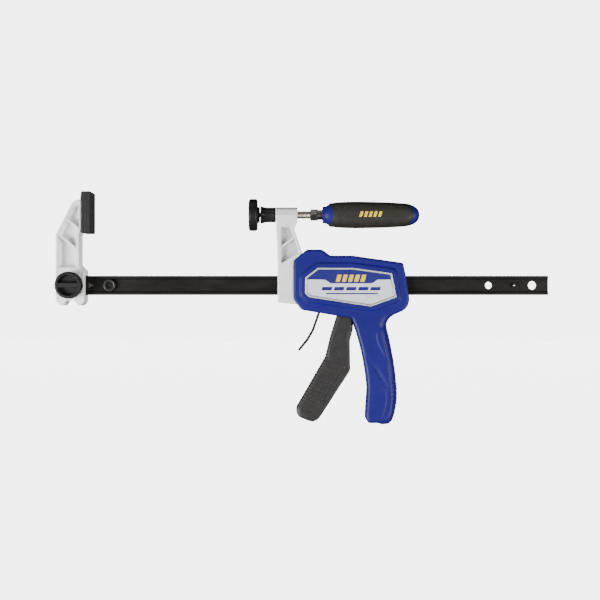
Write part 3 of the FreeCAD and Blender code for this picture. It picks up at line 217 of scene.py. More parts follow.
NODE_LOOKS = {
    "bar": BAR_PAINT, "fixed_jaw": CAST, "moving_jaw": SHADED_ARM_CAST, "fixed_pad": SOFT_PAD, "pad_face": SOFT_PAD,
    "swivel_pad": BLACK_STEEL, "jaw_knob": BLACK_PLASTIC, "screw_neck": BLACK_PLASTIC,
    "rear_bar_guide": BLACK_PLASTIC, "front_stop_screw": BLACK_STEEL, "front_stop_nut": BLACK_STEEL,
    "rear_stop_pin": BLACK_STEEL, "housing_screws": BLACK_STEEL, "drive_lever": BLACK_STEEL,
    "drive_spring": WIRE, "release_spring": WIRE, "release_lever": LEVER_STEEL, "hex_collar": DULL_ZINC,
    "handle_ferrule": DULL_ZINC,
}


def dress_nodes():
    """Materials for the CAD nodes. Those not listed are plated steel."""
    for name, node in nodes.items():
        node.data.materials.clear()
        node.data.materials.append(NODE_LOOKS.get(name, ZINC))


# ---------------------------------------------------------------- outlines in the XZ plane

def outline(corners, step=0.8):
    """A closed line through (x, z, r) corners. The edge after a corner is an arc of radius |r| unless r is 0,
    on the left of the way when r is above 0."""
    points = []
    for i, (x, z, r) in enumerate(corners):
        start, end = np.array([x, z]), np.array(corners[(i + 1) % len(corners)][:2])
        chord = end - start
        length = np.hypot(*chord)
        count = max(2, int(length / step))
        t = np.arange(count)[:, None] / count
        line = start + chord * t
        if r:
            left = np.array([-chord[1], chord[0]]) / length
            rise = math.sqrt(r * r - length * length / 4)
            across = (t - 0.5) * length
            line = line + left * math.copysign(1, r) * (np.sqrt(r * r - across**2) - rise)
        points.append(line)
    return np.concatenate(points)


def evenly(loop, step):
    """A closed line's points moved so that they are evenly spaced."""
    closed = np.vstack([loop, loop[:1]])
    along = np.concatenate([[0], np.cumsum(np.hypot(*np.diff(closed, axis=0).T))])
    wanted = np.linspace(0, along[-1], max(12, int(along[-1] / step)), endpoint=False)
    return np.stack([np.interp(wanted, along, closed[:, k]) for k in (0, 1)], 1)


def rounded(loop, reach, step=0.8):
    """A closed line with its corners rounded over about reach, always clockwise."""
    fine = evenly(loop, step / 2)
    half = int(4 * reach / (step / 2))
    weights = np.exp(-0.5 * (np.arange(-half, half + 1) * (step / 2) / reach) ** 2)
    weights /= weights.sum()
    soft = sum(w * np.roll(fine, k, 0) for w, k in zip(weights, range(-half, half + 1)))
    soft = evenly(soft, step)
    x, z = soft.T
    area = np.sum(x * np.roll(z, -1) - np.roll(x, -1) * z)
    return soft if area < 0 else soft[::-1]


def inward(loop):
    """Unit vectors that point into a clockwise line."""
    way = np.roll(loop, -1, 0) - np.roll(loop, 1, 0)
    return np.stack([way[:, 1], -way[:, 0]], 1) / np.hypot(*way.T)[:, None]


def distance(points, loop, closed=True):
    """Each point's distance to a line."""
    ends = np.roll(loop, -1, 0) if closed else loop[1:]
    starts = loop if closed else loop[:-1]
    span = ends - starts
    size = np.maximum((span**2).sum(1), 1e-12)
    found = np.empty(len(points))
    for low in range(0, len(points), CHUNK):
        p = points[low:low + CHUNK, None, :]
        t = np.clip(((p - starts) * span).sum(2) / size, 0, 1)
        found[low:low + CHUNK] = np.sqrt((((p - starts) - span * t[..., None]) ** 2).sum(2).min(1))
    return found


def inside(points, loop):
    """Which points lie inside a closed loop."""
    x, z = points[:, 0, None], points[:, 1, None]
    x0, z0 = loop.T
    x1, z1 = np.roll(loop, -1, 0).T
    found = np.zeros(len(points), bool)
    for low in range(0, len(points), CHUNK):
        s = slice(low, low + CHUNK)
        crosses = (z0 > z[s]) != (z1 > z[s])
        reach = x0 + (z[s] - z0) * (x1 - x0) / np.where(z1 == z0, 1e-9, z1 - z0)
        found[s] = (crosses & (x[s] < reach)).sum(1) % 2 == 1
    return found


def signed(points, loop):
    """Distance to a closed line, below 0 inside it."""
    gap = distance(points, loop)
    return np.where(inside(points, loop), -gap, gap)


def step_up(value, start, end):
    """0 at start to 1 at end, with a smooth run between them."""
    t = np.clip((value - start) / (end - start), 0, 1)
    return t * t * (3 - 2 * t)


def bulge(value, reach):
    """A quarter circle's rise: 0 at 0, 1 from reach on."""
    t = np.clip(value / reach, 0, 1)
    return np.sqrt(1 - (1 - t) ** 2)


# ---------------------------------------------------------------- meshes

def new_piece(name, verts, faces, material, body, slot, *replaced, smooth=35.0):
    """A visible piece from its points and faces."""
    mesh = bpy.data.meshes.new(name)
    mesh.from_pydata([tuple(v) for v in verts], [], faces)
    mesh.validate()
    return finish_piece(name, mesh, material, body, slot, *replaced, smooth=smooth)


def finish_piece(name, mesh, material, body, slot, *replaced, smooth=35.0):
    """A piece of the object that rides on a body and may stand for CAD nodes. Its slot is not used."""
    mesh.set_sharp_from_angle(angle=math.radians(smooth))
    mesh.materials.clear()
    mesh.materials.append(material)
    piece = bpy.data.objects.new(name, mesh)
    bpy.context.scene.collection.objects.link(piece)
    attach(piece, body)
    if replaced:
        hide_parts(*replaced)
    return piece


def grid_points(loop, spacing, margin, keep_clear=()):
    """Points in a triangular pattern inside a loop, at least margin from it and from the given lines."""
    low, high = loop.min(0), loop.max(0)
    row = spacing * math.sqrt(3) / 2
    found = []
    for i, z in enumerate(np.arange(low[1], high[1], row)):
        xs = np.arange(low[0] + (i % 2) * spacing / 2, high[0], spacing)
        found.append(np.stack([xs, np.full(len(xs), z)], 1))
    points = np.concatenate(found)
    points = points[inside(points, loop)]
    points = points[distance(points, loop) > margin]
    for line, closed in keep_clear:
        points = points[distance(points, line, closed) > spacing * 0.45]
    return points


def triangulated(loop, inner, lines=()):
    """Triangles inside a loop through its points, the inner points and the lines. Gives points, faces."""
    points = [loop, inner]
    count = len(loop)
    edges = [(i, (i + 1) % count) for i in range(count)]
    at = count + len(inner)
    for line, closed in lines:
        points.append(line)
        last = len(line) if closed else len(line) - 1
        edges += [(at + i, at + (i + 1) % len(line)) for i in range(last)]
        at += len(line)
    flat = [Vector(p) for p in np.concatenate(points)]
    verts, _, faces, origins, _, _ = delaunay_2d_cdt(flat, edges, [], 1, 1e-6)
    return np.array([tuple(v) for v in verts]), faces, origins


def half_body(loop, height, depths, spacing, base=0.05, lines=(), chamfer=0.25):
    """One side of a moulded body: a flat back near y = 0, a wall, a rounded rim and a relief of given height.

    height(points, depth) is in millimetres above y = 0, depths are the rim's steps in from the outline.
    """
    into = inward(loop)
    count = len(loop)
    rings = [(loop + into * chamfer, np.full(count, base)), (loop, np.full(count, base + chamfer))]
    rings += [(loop + into * d, height(loop + into * d, np.full(count, d))) for d in depths]
    verts = [np.column_stack([p[:, 0], -y, p[:, 1]]) for p, y in rings]
    faces = []
    for r in range(len(rings) - 1):
        for i in range(count):
            j = (i + 1) % count
            faces.append((r * count + i, r * count + j, (r + 1) * count + j, (r + 1) * count + i))
    last = rings[-1][0]
    inner = grid_points(last, spacing, spacing * 0.5, lines)
    flat, tris, origins = triangulated(last, inner, lines)
    index = np.empty(len(flat), int)
    extra, at = [], len(rings) * count
    for k, origin in enumerate(origins):
        rim = [o for o in origin if o < count]
        if rim:
            index[k] = (len(rings) - 1) * count + rim[0]
        else:
            index[k] = at
            extra.append(flat[k])
            at += 1
    extra = np.array(extra)
    verts.append(np.column_stack([extra[:, 0], -height(extra, distance(extra, loop)), extra[:, 1]]))
    faces += [tuple(int(index[v]) for v in face) for face in tris]
    back, back_tris, _ = triangulated(rings[0][0], np.empty((0, 2)))
    faces += [tuple(reversed(face)) for face in back_tris]
    return np.concatenate(verts) * MM, faces


def facing_out(mesh):
    """Turns all faces to point outwards."""
    work = bmesh.new()
    work.from_mesh(mesh)
    bmesh.ops.recalc_face_normals(work, faces=work.faces)
    work.to_mesh(mesh)
    work.free()


def joined(mesh):
    """Joins the halves of a mesh where they meet and turns its faces outwards."""
    work = bmesh.new()
    work.from_mesh(mesh)
    bmesh.ops.remove_doubles(work, verts=work.verts, dist=1e-6)
    bmesh.ops.recalc_face_normals(work, faces=work.faces)
    work.to_mesh(mesh)
    work.free()


def prism(loop, low, high):
    """A closed prism along Y over an outline, from low to high. Gives vertices and faces."""
    count = len(loop)
    ends = [np.column_stack([loop[:, 0], np.full(count, y), loop[:, 1]]) for y in (low, high)]
    faces = [tuple(range(count)), tuple(range(2 * count - 1, count - 1, -1))]
    faces += [(i, i + count, (i + 1) % count + count, (i + 1) % count) for i in range(count)]
    return np.concatenate(ends) * MM, faces


def box_loop(x0, z0, x1, z1):
    """An upright rectangle's corners."""
    return np.array([(x0, z0), (x0, z1), (x1, z1), (x1, z0)])


def circle_loop(x, z, radius, count=32):
    """Points round a circle."""
    angle = np.linspace(0, 2 * math.pi, count, endpoint=False)
    return np.column_stack([x + radius * np.cos(angle), z + radius * np.sin(angle)])


def scratch_mesh(name, verts, faces):
    """A mesh with its faces turned outwards."""
    mesh = bpy.data.meshes.new(name)
    mesh.from_pydata([tuple(v) for v in verts], [], faces)
    facing_out(mesh)
    return mesh


def carved(verts, faces, cutters):
    """The mesh left when the cutters, each (vertices, faces), are taken from a solid one after another."""
    body = bpy.data.objects.new("carving", scratch_mesh("carving", verts, faces))
    bpy.context.scene.collection.objects.link(body)
    tools = []
    for number, (v, f) in enumerate(cutters):
        tool = bpy.data.objects.new(f"cutter_{number}", scratch_mesh("cutter", v, f))
        bpy.context.scene.collection.objects.link(tool)
        tools.append(tool)
        cut = body.modifiers.new("cut", "BOOLEAN")
        cut.operation, cut.solver, cut.object = "DIFFERENCE", "EXACT", tool
    bpy.context.view_layer.update()
    result = bpy.data.meshes.new_from_object(body.evaluated_get(bpy.context.evaluated_depsgraph_get()))
    for item in [body] + tools:
        bpy.data.objects.remove(item)
    return result


def loft(rings, closed_start=True, closed_end=True):
    """A tube through rings of equal numbers of points, in metres."""
    count = len(rings[0])
    verts = np.concatenate(rings)
    faces = []
    for r in range(len(rings) - 1):
        for i in range(count):
            j = (i + 1) % count
            faces.append((r * count + i, r * count + j, (r + 1) * count + j, (r + 1) * count + i))
    if closed_start:
        faces.append(tuple(range(count - 1, -1, -1)))
    if closed_end:
        faces.append(tuple(range(len(verts) - count, len(verts))))
    return verts, faces


# ---------------------------------------------------------------- housing

HOUSING = [
    (240.5, -101.0, 0), (240.5, -55.2, 0), (256.5, -41.8, 0), (274.8, -41.8, 0), (284.6, -49.0, 0),
    (311.0, -49.0, 0), (371.4, -57.6, 0), (375.2, -75.0, 0), (378.8, -99.6, 16.0), (369.6, -115.6, 0),
    (362.0, -119.0, -16.0), (351.6, -133.0, 450.0), (364.2, -205.0, 90.0), (358.6, -246.0, 0),
    (354.0, -250.36, 0), (344.5, -250.36, 0), (343.0, -248.8, 0), (330.0, -248.8, 0), (326.3, -243.0, 0),
    (328.6, -208.0, -290.0), (309.6, -123.2, 0), (291.9, -120.8, 0), (250.4, -113.9, 0),
]
LABEL = [
    (254.6, -93.8, 0), (254.6, -75.3, 0), (269.6, -63.8, 0), (311.4, -63.8, 0), (357.6, -70.2, 0),
    (363.0, -98.7, 0), (332.9, -109.9, 0), (259.2, -98.7, 0),
]
MOUTH = [(238, -107.4), (238, -36), (248.4, -36), (251.9, -46.6), (264, -46.6), (264, -107.4)]
CAVITY = [
    (262.4, -110.6), (262.4, -46.0), (273.2, -46.0), (283.0, -53.2), (310.6, -53.2), (367.6, -61.4),
    (371.2, -76.0), (374.6, -99.0), (367.0, -111.6), (355.0, -116.2), (291.6, -116.4),
]
TRIGGER_WAY = [
    (291.2, -126), (291.2, -112), (331, -112), (333.2, -150), (341.4, -176), (341.4, -200), (331, -224),
    (318, -224), (300, -135),
]
SHELL_SCREWS = [
    (268.4, -50.2), (326.0, -59.4), (357.2, -65.4), (357.0, -108.0), (344.0, -148.0), (345.6, -234.0),
]
# Edge lines of the swelling at the top of the grip's back and of the hollow in the grip's side.
SWELL_EDGE = [
    (351.0, -130.5), (344.6, -135.3), (339.8, -141.0), (339.9, -149.5), (345.1, -161.4), (349.5, -169.0),
    (353.7, -175.0), (356.2, -182.0), (357.4, -192.0),
]
PALM_EDGE = [
    (320.0, -160.0), (326.3, -171.1), (334.4, -183.0), (345.2, -199.2), (350.1, -207.8), (351.1, -217.6),
    (350.1, -227.3), (347.3, -238.0), (342.0, -252.0),
]


def curved(points, step=0.9):
    """A smooth open line through points."""
    closed = np.asarray(points, float)
    along = np.concatenate([[0], np.cumsum(np.hypot(*np.diff(closed, axis=0).T))])
    wanted = np.arange(0, along[-1], step)
    line = np.stack([np.interp(wanted, along, closed[:, k]) for k in (0, 1)], 1)
    for _ in range(14):
        line[1:-1] = (line[:-2] + line[1:-1] * 2 + line[2:]) / 4
    return line


def side_of(points, line):
    """Distance to an open line, above 0 on the right of its way and below 0 on the left."""
    gap = distance(points, line, closed=False)
    starts, span = line[:-1], np.diff(line, axis=0)
    middle = starts + span / 2
    nearest = np.empty(len(points), int)
    for low in range(0, len(points), CHUNK):
        nearest[low:low + CHUNK] = ((points[low:low + CHUNK, None] - middle) ** 2).sum(2).argmin(1)
    rel = points - starts[nearest]
    cross = span[nearest][:, 0] * rel[:, 1] - span[nearest][:, 1] * rel[:, 0]
    return np.where(cross < 0, gap, -gap)


# Heights of the head's outer field and of the raised panel round the label, the panel's reach and slope, and
# the radius of the housing's rim.
FIELD_LEVEL, PANEL_LEVEL, PANEL_REACH, PANEL_SLOPE, RIM = 14.36, 16.45, 6.9, 2.5, 3.4
# Depths of the label's seat, of the hollow in the grip's side and of the grooves down the grip's back, the
# height of the swelling above them, and the grooves' pitch.
SEAT, HOLLOW, RIB_DEPTH, SWELLING, RIB_PITCH = 0.65, 1.1, 0.4, 0.7, 5.6


def back_ribs(z):
    """The grooves between the ribs down the grip's back: 1 in a groove, 0 on a rib and beyond them."""
    wave = 0.5 + 0.5 * np.cos(2 * math.pi * (z + 194) / RIB_PITCH)
    return wave * step_up(-z, 191, 196) * (1 - step_up(-z, 231, 236))


def housing_height(label_loop, swell, palm):
    """Height of the near side: a framed head with a raised panel round the label, and the grip below it."""
    def head(points, depth):
        panel = signed(points, label_loop)
        rim = FIELD_LEVEL - RIM + RIM * bulge(depth, RIM) + 0.03 * np.maximum(depth - 3.6, 0)
        panel_edge = step_up(-panel, -PANEL_REACH, -PANEL_REACH + PANEL_SLOPE)
        top = FIELD_LEVEL + (PANEL_LEVEL - FIELD_LEVEL) * panel_edge
        return np.minimum(top, rim + 6 * panel_edge) - SEAT * step_up(-panel, -0.5, -0.25)

    def grip(points, depth):
        x, z = points.T
        middle = np.interp(-z, [120, 145, 180, 210, 250], [331, 334, 342, 346.5, 345])
        back = step_up(x - middle, -3, 7)
        front_rise = 10.4 + 3.6 * bulge(depth, 4.6)
        back_rise = 5.2 + 9.2 * bulge(depth, 11.0)
        height = front_rise * (1 - back) + back_rise * back + 0.06 * np.minimum(depth, 8)
        lower = side_of(points, palm)
        crease = step_up(-lower, -0.4, 1.0) * (1 - step_up(-lower, 1.0, 8.0)) * step_up(-z, 160, 186)
        height = height - HOLLOW * crease * step_up(depth, 0.2, 3.0)
        raised = step_up(-side_of(points, swell), -1.2, 1.0) * step_up(-z, 131, 141)
        raised = raised * (1 - step_up(-z, 172, 190))
        height = height + SWELLING * raised * step_up(depth, 0.8, 5.0)
        return height - RIB_DEPTH * back_ribs(z) * (1 - step_up(depth, 3.5, 6.5)) * back

    def height(points, depth):
        mix = step_up(-points[:, 1], 113, 131)
        return head(points, depth) * (1 - mix) + grip(points, depth) * mix
    return height


def ribbed_back(loop):
    """The housing's outline with shallow waves down the back of the grip."""
    x, z = loop.T
    return loop + inward(loop) * (0.35 * back_ribs(z) * step_up(x, 350, 352))[:, None]


def make_housing():
    """The casing's two halves, with the near one's shape mirrored for the far one."""
    loop = ribbed_back(rounded(outline(HOUSING), 1.5))
    label_loop = rounded(outline(LABEL, 0.6), 0.8, 0.9)
    into = inward(label_loop)
    lines = [(evenly(label_loop - into * d, 0.95), True) for d in (0.25, 0.5, 4.4, 5.6, 6.9)]
    height = housing_height(label_loop, curved(SWELL_EDGE), curved(PALM_EDGE))
    angles = np.radians([0, 12, 24, 36, 48, 60, 72, 84])
    depths = RIM * (1 - np.cos(angles)) / (1 - math.cos(angles[-1]))
    verts, faces = half_body(loop, height, depths, 0.9, lines=lines)
    cutters = [
        prism(np.array(MOUTH, float), -11.2, 5), prism(np.array(CAVITY, float), -10.4, 6),
        prism(np.array(TRIGGER_WAY, float), -9.8, 7), prism(box_loop(267.4, -124, 281.6, -108), -8.3, 8),
        prism(box_loop(365.5, -96.5, 386.5, -72.5), -5.0, 9),
    ]
    near = carved(verts, faces, cutters)
    finish_piece("housing_near_look", near, BLUE, "moving_head", "blue_plastic", "housing_near", smooth=42)
    wells = [prism(circle_loop(x, z, 3.6), 12.1, 20) for x, z in SHELL_SCREWS]
    cutters = [(v * MIRROR, f) for v, f in cutters] + wells
    far = carved(verts * MIRROR, faces, cutters)
    finish_piece("housing_far_look", far, BLUE, "moving_head", "blue_plastic", "housing_far", smooth=42)


# ---------------------------------------------------------------- label plates

# Height of the label's face, and the sections of its frame and of the line inside it as (inset, height).
LABEL_FACE = 16.42
FRAME_SECTION = [
    (0.0, 15.7), (0.0, 16.72), (0.22, 16.95), (0.5, 17.04), (1.5, 17.04), (1.8, 16.95), (2.0, 16.72),
    (2.0, LABEL_FACE - 0.2),
]
LINE_SECTION = [
    (1.9, LABEL_FACE - 0.1), (1.9, LABEL_FACE + 0.12), (2.6, LABEL_FACE + 0.12), (2.6, LABEL_FACE - 0.1),
]
# Lower edge of the blue field as (x, z), and how far the field stays inside the label's outline.
FIELD_EDGE = np.array([
    (250.0, -78.0), (278.5, -78.0), (284.5, -82.2), (334.5, -82.2), (340.0, -78.0), (370.0, -78.0),
])
FIELD_INSET = 2.5


def inset_rings(loop, profile):
    """A loop's ring for each (inset, height) of a profile, on the near side of y = 0 and in metres."""
    found = []
    for inset, height in profile:
        x, z = (loop + inward(loop) * inset).T
        found.append(np.column_stack([x, np.full(len(loop), -height), z]) * MM)
    return found


def plate(loop, levels):
    """A flat plate with a shaped rim. levels are (inset, height) from its back edge to its middle."""
    return loft(inset_rings(loop, levels))


def frame_strip(loop, section):
    """A strip of a given closed section round a loop."""
    rings = inset_rings(loop, section)
    return loft(rings + rings[:1], False, False)


def blue_field(loop):
    """Outline of the label's part above the lower edge of its blue field."""
    edge = loop + inward(loop) * FIELD_INSET
    edge = edge[distance(edge, loop) > FIELD_INSET - 0.06]
    above = edge[:, 1] > np.interp(edge[:, 0], *FIELD_EDGE.T)
    start = np.flatnonzero(above & ~np.roll(above, 1))[0]
    top_run = np.roll(edge, -start, 0)[:above.sum()]
    return np.vstack([top_run, FIELD_EDGE[4:0:-1]])


def thin_plate(loop, low, high):
    """A prism along Y over a long outline, its two faces cut into even triangles."""
    count = len(loop)
    flat, tris, _ = triangulated(loop, np.empty((0, 2)))
    ends = [np.column_stack([flat[:, 0], np.full(len(flat), y), flat[:, 1]]) for y in (low, high)]
    far = len(flat)
    faces = [tuple(f) for f in tris] + [tuple(far + v for v in reversed(f)) for f in tris]
    faces += [((i + 1) % count, i, far + i, far + (i + 1) % count) for i in range(count)]
    return np.concatenate(ends) * MM, faces


def bar_mark(x, z, width, height, lean, top, thick=0.12):
    """A slanted bar in relief."""
    low, high = z - height / 2, z + height / 2
    loop = np.array([(x - width / 2 - lean / 2, low), (x - width / 2 + lean / 2, high),
                     (x + width / 2 + lean / 2, high), (x + width / 2 - lean / 2, low)])
    loop = rounded(loop, 0.35, 0.4)
    return plate(loop, [(0, top), (0, top + thick * 0.6), (0.12, top + thick)])


def merged(parts):
    """Several (vertices, faces) as one."""
    verts, faces, at = [], [], 0
    for v, f in parts:
        verts.append(v)
        faces += [tuple(i + at for i in face) for face in f]
        at += len(v)
    return np.concatenate(verts), faces


def make_label(side, suffix, node):
    """Framed plate: a raised silver frame, a blue upper field, a silver lower field and plain marks."""
    flip = np.array([1, side, 1])
    loop = rounded(outline(LABEL, 0.6), 0.8, 0.6)

    def put(name, shape, material, *replaced):
        verts, faces = shape
        faces = faces if side > 0 else [tuple(reversed(f)) for f in faces]
        piece = new_piece(f"{name}_{suffix}", verts * flip, faces, material, "moving_head", "label_plate",
                          *replaced, smooth=12)
        facing_out(piece.data)

    put("label_field", plate(loop, [(0.1, 15.6), (0.1, 16.3), (0.6, LABEL_FACE)]), FIELD_SILVER, node)
    put("label_frame", frame_strip(loop, FRAME_SECTION), FRAME_SILVER)
    put("label_line", frame_strip(loop, LINE_SECTION), KEYLINE)
    put("label_blue", thin_plate(blue_field(loop), -(LABEL_FACE + 0.09), -(LABEL_FACE - 0.3)), FIELD_BLUE)
    gold = [bar_mark(294.4 + 7.3 * i, -76.2, 4.9, 8.4, 2.4, LABEL_FACE + 0.08) for i in range(5)]
    put("label_gold", merged(gold), GOLD)
    stripes = [bar_mark(280.5 + 14.4 * i, -88.6, 12.0, 4.2, 1.4, LABEL_FACE) for i in range(5)]
    stripes.append(bar_mark(310.2, -94.4, 62.0, 1.6, 0.6, LABEL_FACE))
    put("label_stripes", merged(stripes), FIELD_BLUE)


# ---------------------------------------------------------------- trigger

TRIGGER = [
    (292.9, -119.0, 0), (285.6, -142.5, 0), (278.4, -170.0, 0), (244.6, -228.5, -13.0),
    (247.4, -241.6, -60.0), (262.5, -247.4, -13.0), (272.8, -241.5, 0), (279.0, -232.0, 0),
    (306.4, -189.5, -10.0), (308.6, -181.0, 0), (308.2, -150.0, 0), (311.6, -138.0, 0),
    (312.6, -119.0, 0),
]
TRIGGER_AXIS = [(302.6, -119.0), (297.5, -146.0), (293.0, -176.0), (279.0, -204.0), (259.0, -236.0)]
REAR_GROOVE = [(300.2, -183.0), (288.7, -200.8), (276.8, -220.7)]
FIRST_RIB, RIB_STEP, RIB_COUNT = np.array([289.6, -163.0]), np.array([-5.05, -11.8]), 7
RIB_WAY = np.array([0.94, -0.34])
RIB_RIGHT = np.array([0.34, 0.94])
RIDGE_PITCH = 3.9


def dip(value, width):
    """A smooth groove's depth: 1 in its middle, and little beyond width on both sides."""
    return np.exp(-((value / width) ** 2))


def trigger_height(axis, rear):
    """Height of the trigger's side: rounded rim, front bevel, cross grooves and a long rear groove."""
    def height(points, depth):
        z = points[:, 1]
        across = side_of(points, axis)
        reach = 5.2 - 2.4 * step_up(-z, 140, 172)
        body = 5.4 + 3.3 * bulge(depth, reach)
        bevel = 0.9 * (1 - step_up(depth, 2.6, 4.0)) + 0.25 * dip(depth - 4.2, 0.6)
        body = body - bevel * step_up(across, 1.0, 3.0) * step_up(-z, 156, 172)
        body = body - 1.3 * dip(distance(points, rear, False), 0.95)
        for i in range(RIB_COUNT):
            rel = points - (FIRST_RIB + RIB_STEP * i)
            length = 1 - step_up(np.abs(rel @ RIB_WAY - 1.2), 3.8, 5.4)
            body = body - 0.38 * dip(rel @ RIB_RIGHT, 0.75) * length
        return body
    return height


def serrated(loop, axis):
    """The trigger's outline with finger ridges down its front edge."""
    z = loop[:, 1]
    along = loop @ np.array([-0.5, -0.87])
    wave = 0.5 + 0.5 * np.cos(2 * math.pi * along / RIDGE_PITCH)
    where = step_up(side_of(loop, axis), 6, 9) * step_up(-z, 158, 164) * (1 - step_up(-z, 226, 232))
    return loop + inward(loop) * (0.45 * wave * where)[:, None]


def make_trigger():
    """The trigger's moulded cover, one closed shell from its two sides."""
    axis = curved(TRIGGER_AXIS, 0.7)
    loop = serrated(rounded(outline(TRIGGER, 0.5), 0.9, 0.6), axis)
    depths = 2.6 * (1 - np.cos(np.radians([0, 15, 30, 45, 60, 75, 88])))
    height = trigger_height(axis, np.array(REAR_GROOVE))
    verts, faces = half_body(loop, height, depths, 0.62, base=0.0, chamfer=0.0)
    count = len(loop)
    faces = [f for f in faces if not all(i < count for i in f)]
    both = merged([(verts, faces), (verts * MIRROR, [tuple(reversed(f)) for f in faces])])
    mesh = scratch_mesh("trigger_look", *both)
    joined(mesh)
    finish_piece("trigger_look", mesh, TRIGGER_PLASTIC, "trigger", "trigger_plastic", "trigger_grip",
                 smooth=42)


# ---------------------------------------------------------------- release lever, stop ring and arrow

RELEASE_LINE = [(280.5, -55.5), (271.1, -117.5), (263.9, -138.2), (257.0, -150.0), (247.0, -162.2)]
LEVER_HALF = 1.4
WEB_FACE = -3.0


def make_release():
    """Bent strip of sheet steel with a window for the bar."""
    line = evenly_open(np.array(RELEASE_LINE), 1.0)
    for _ in range(4):
        line[1:-1] = (line[:-2] + line[1:-1] * 2 + line[2:]) / 4
    way = np.gradient(line, axis=0)
    normal = np.column_stack([-way[:, 1], way[:, 0]]) / np.hypot(*way.T)[:, None]
    loop = np.vstack([line + normal * LEVER_HALF, (line - normal * LEVER_HALF)[::-1]])
    shape = carved(*prism(loop, -7.5, 7.5), [prism(box_loop(262, -97.1, 296, -71.9), -4.95, 4.95)])
    piece = finish_piece("release_lever_look", shape, LEVER_STEEL, "release", "zinc_steel", "release_lever")
    rounding = piece.modifiers.new("rounding", "BEVEL")
    rounding.width, rounding.segments, rounding.limit_method = 0.35 * MM, 2, "ANGLE"


def evenly_open(points, step):
    """Points at even steps along an open line."""
    along = np.concatenate([[0], np.cumsum(np.hypot(*np.diff(points, axis=0).T))])
    wanted = np.linspace(0, along[-1], int(along[-1] / step))
    return np.stack([np.interp(wanted, along, points[:, k]) for k in (0, 1)], 1)


def make_stop_ring():
    """Bead round the stop screw's socket, in lighter steel that is a painted highlight for the light its
    chamfer catches.
    """
    low, high = (np.array(c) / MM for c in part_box("front_stop_screw"))
    x, z, face = (low[0] + high[0]) / 2, (low[2] + high[2]) / 2, low[1]
    outer = (high[0] - low[0]) / 2
    section = [(outer - 0.15, 0.5), (outer - 0.35, 0.0), (outer - 0.9, -0.22), (outer - 1.6, -0.22),
               (outer - 2.0, 0.05), (outer - 2.0, 0.5)]
    rings = []
    for r, y in section + section[:1]:
        loop = circle_loop(x, z, r, 48)
        rings.append(np.column_stack([loop[:, 0], np.full(48, face + y), loop[:, 1]]) * MM)
    verts, faces = loft(rings, False, False)
    piece = new_piece("stop_ring", verts, faces, HIGHLIGHT_STEEL, "bar_frame", "black_steel", smooth=50)
    facing_out(piece.data)


def make_arrow():
    """Small printed arrow on the bar's web beside the fixed jaw."""
    low, high = (np.array(c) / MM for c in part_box("bar"))
    z = (low[2] + high[2]) / 2
    loop = np.array([(-4.6, z - 2.9), (-4.6, z + 2.9), (2.2, z)])
    verts, faces = prism(loop, WEB_FACE - 0.06, WEB_FACE + 0.3)
    piece = new_piece("bar_arrow", verts, faces, MARK_GREY, "bar_frame", "bar_steel")
    facing_out(piece.data)


# ---------------------------------------------------------------- screw and handle

def ring_x(x, radius, count=64, power=2.0):
    """A ring about the X axis. power above 2 squares it."""
    angle = np.linspace(0, 2 * math.pi, count, endpoint=False)
    c, s = np.cos(angle), np.sin(angle)
    r = np.asarray(radius) / (np.abs(c) ** power + np.abs(s) ** power) ** (1 / power)
    return np.column_stack([np.broadcast_to(x, count), r * c, r * s]) * MM


PITCH, CREST, ROOT = 1.5875, 4.72, 4.05
BALL_X, BALL_RADIUS = 195.3, 4.0


def make_rod():
    """The spindle: a ball and its neck, a plain front end, a cut thread and a plain rear end."""
    count = 48
    angle = np.linspace(0, 2 * math.pi, count, endpoint=False)
    rings = []
    for a in np.radians(np.arange(2, 138, 6)):
        rings.append(ring_x(BALL_X - BALL_RADIUS * math.cos(a), BALL_RADIUS * math.sin(a), count))
    for x, r in ((201.2, 2.7), (202.4, 4.6), (206, CREST), (217.5, CREST)):
        rings.append(ring_x(x, r, count))
    for x in np.arange(218.5, 262.0, PITCH / 10):
        phase = (x / PITCH - angle / (2 * math.pi)) % 1.0
        flank = np.clip(np.abs(phase - 0.5) * 2.6 - 0.15, 0, 1)
        rings.append(ring_x(x, CREST - (CREST - ROOT) * flank, count))
    for x in (262.3, 268.0):
        rings.append(ring_x(x, CREST, count))
    verts, faces = loft(rings)
    new_piece("screw_thread_look", verts, faces, ZINC, "screw", "zinc_steel", "screw_rod", smooth=60)


# The handle's profile: places along it and the radii there.
HANDLE_X = [
    283.0, 284.5, 294.1, 303.7, 313.3, 322.9, 332.5, 342.1, 351.7, 361.3, 370.9, 377.0, 380.5, 384.0, 387.0,
    389.4, 391.0, 391.7,
]
HANDLE_R = [
    13.5, 14.0, 15.1, 15.62, 15.85, 15.78, 15.6, 15.4, 15.1, 14.6, 14.0, 13.4, 12.7, 11.4, 9.7, 7.5, 4.8, 2.0,
]
# The grip's skin lies GRIP_PROUD outside that profile. MARK_LEAN is the slant of a gold bar on it.
COLLAR_RADIUS, GRIP_PROUD = 10.6, 0.10
MARK_COUNT, MARK_LEAN = 5, 2.0


def handle_radius(x):
    """The handle's radius at x."""
    return np.interp(x, HANDLE_X, HANDLE_R)


def squareness(x):
    """The power of the handle's section: 2 is round, and above 2 it is squarer."""
    return 2.0 + 0.55 * step_up(x, 280, 296) * (1 - step_up(x, 372, 386))


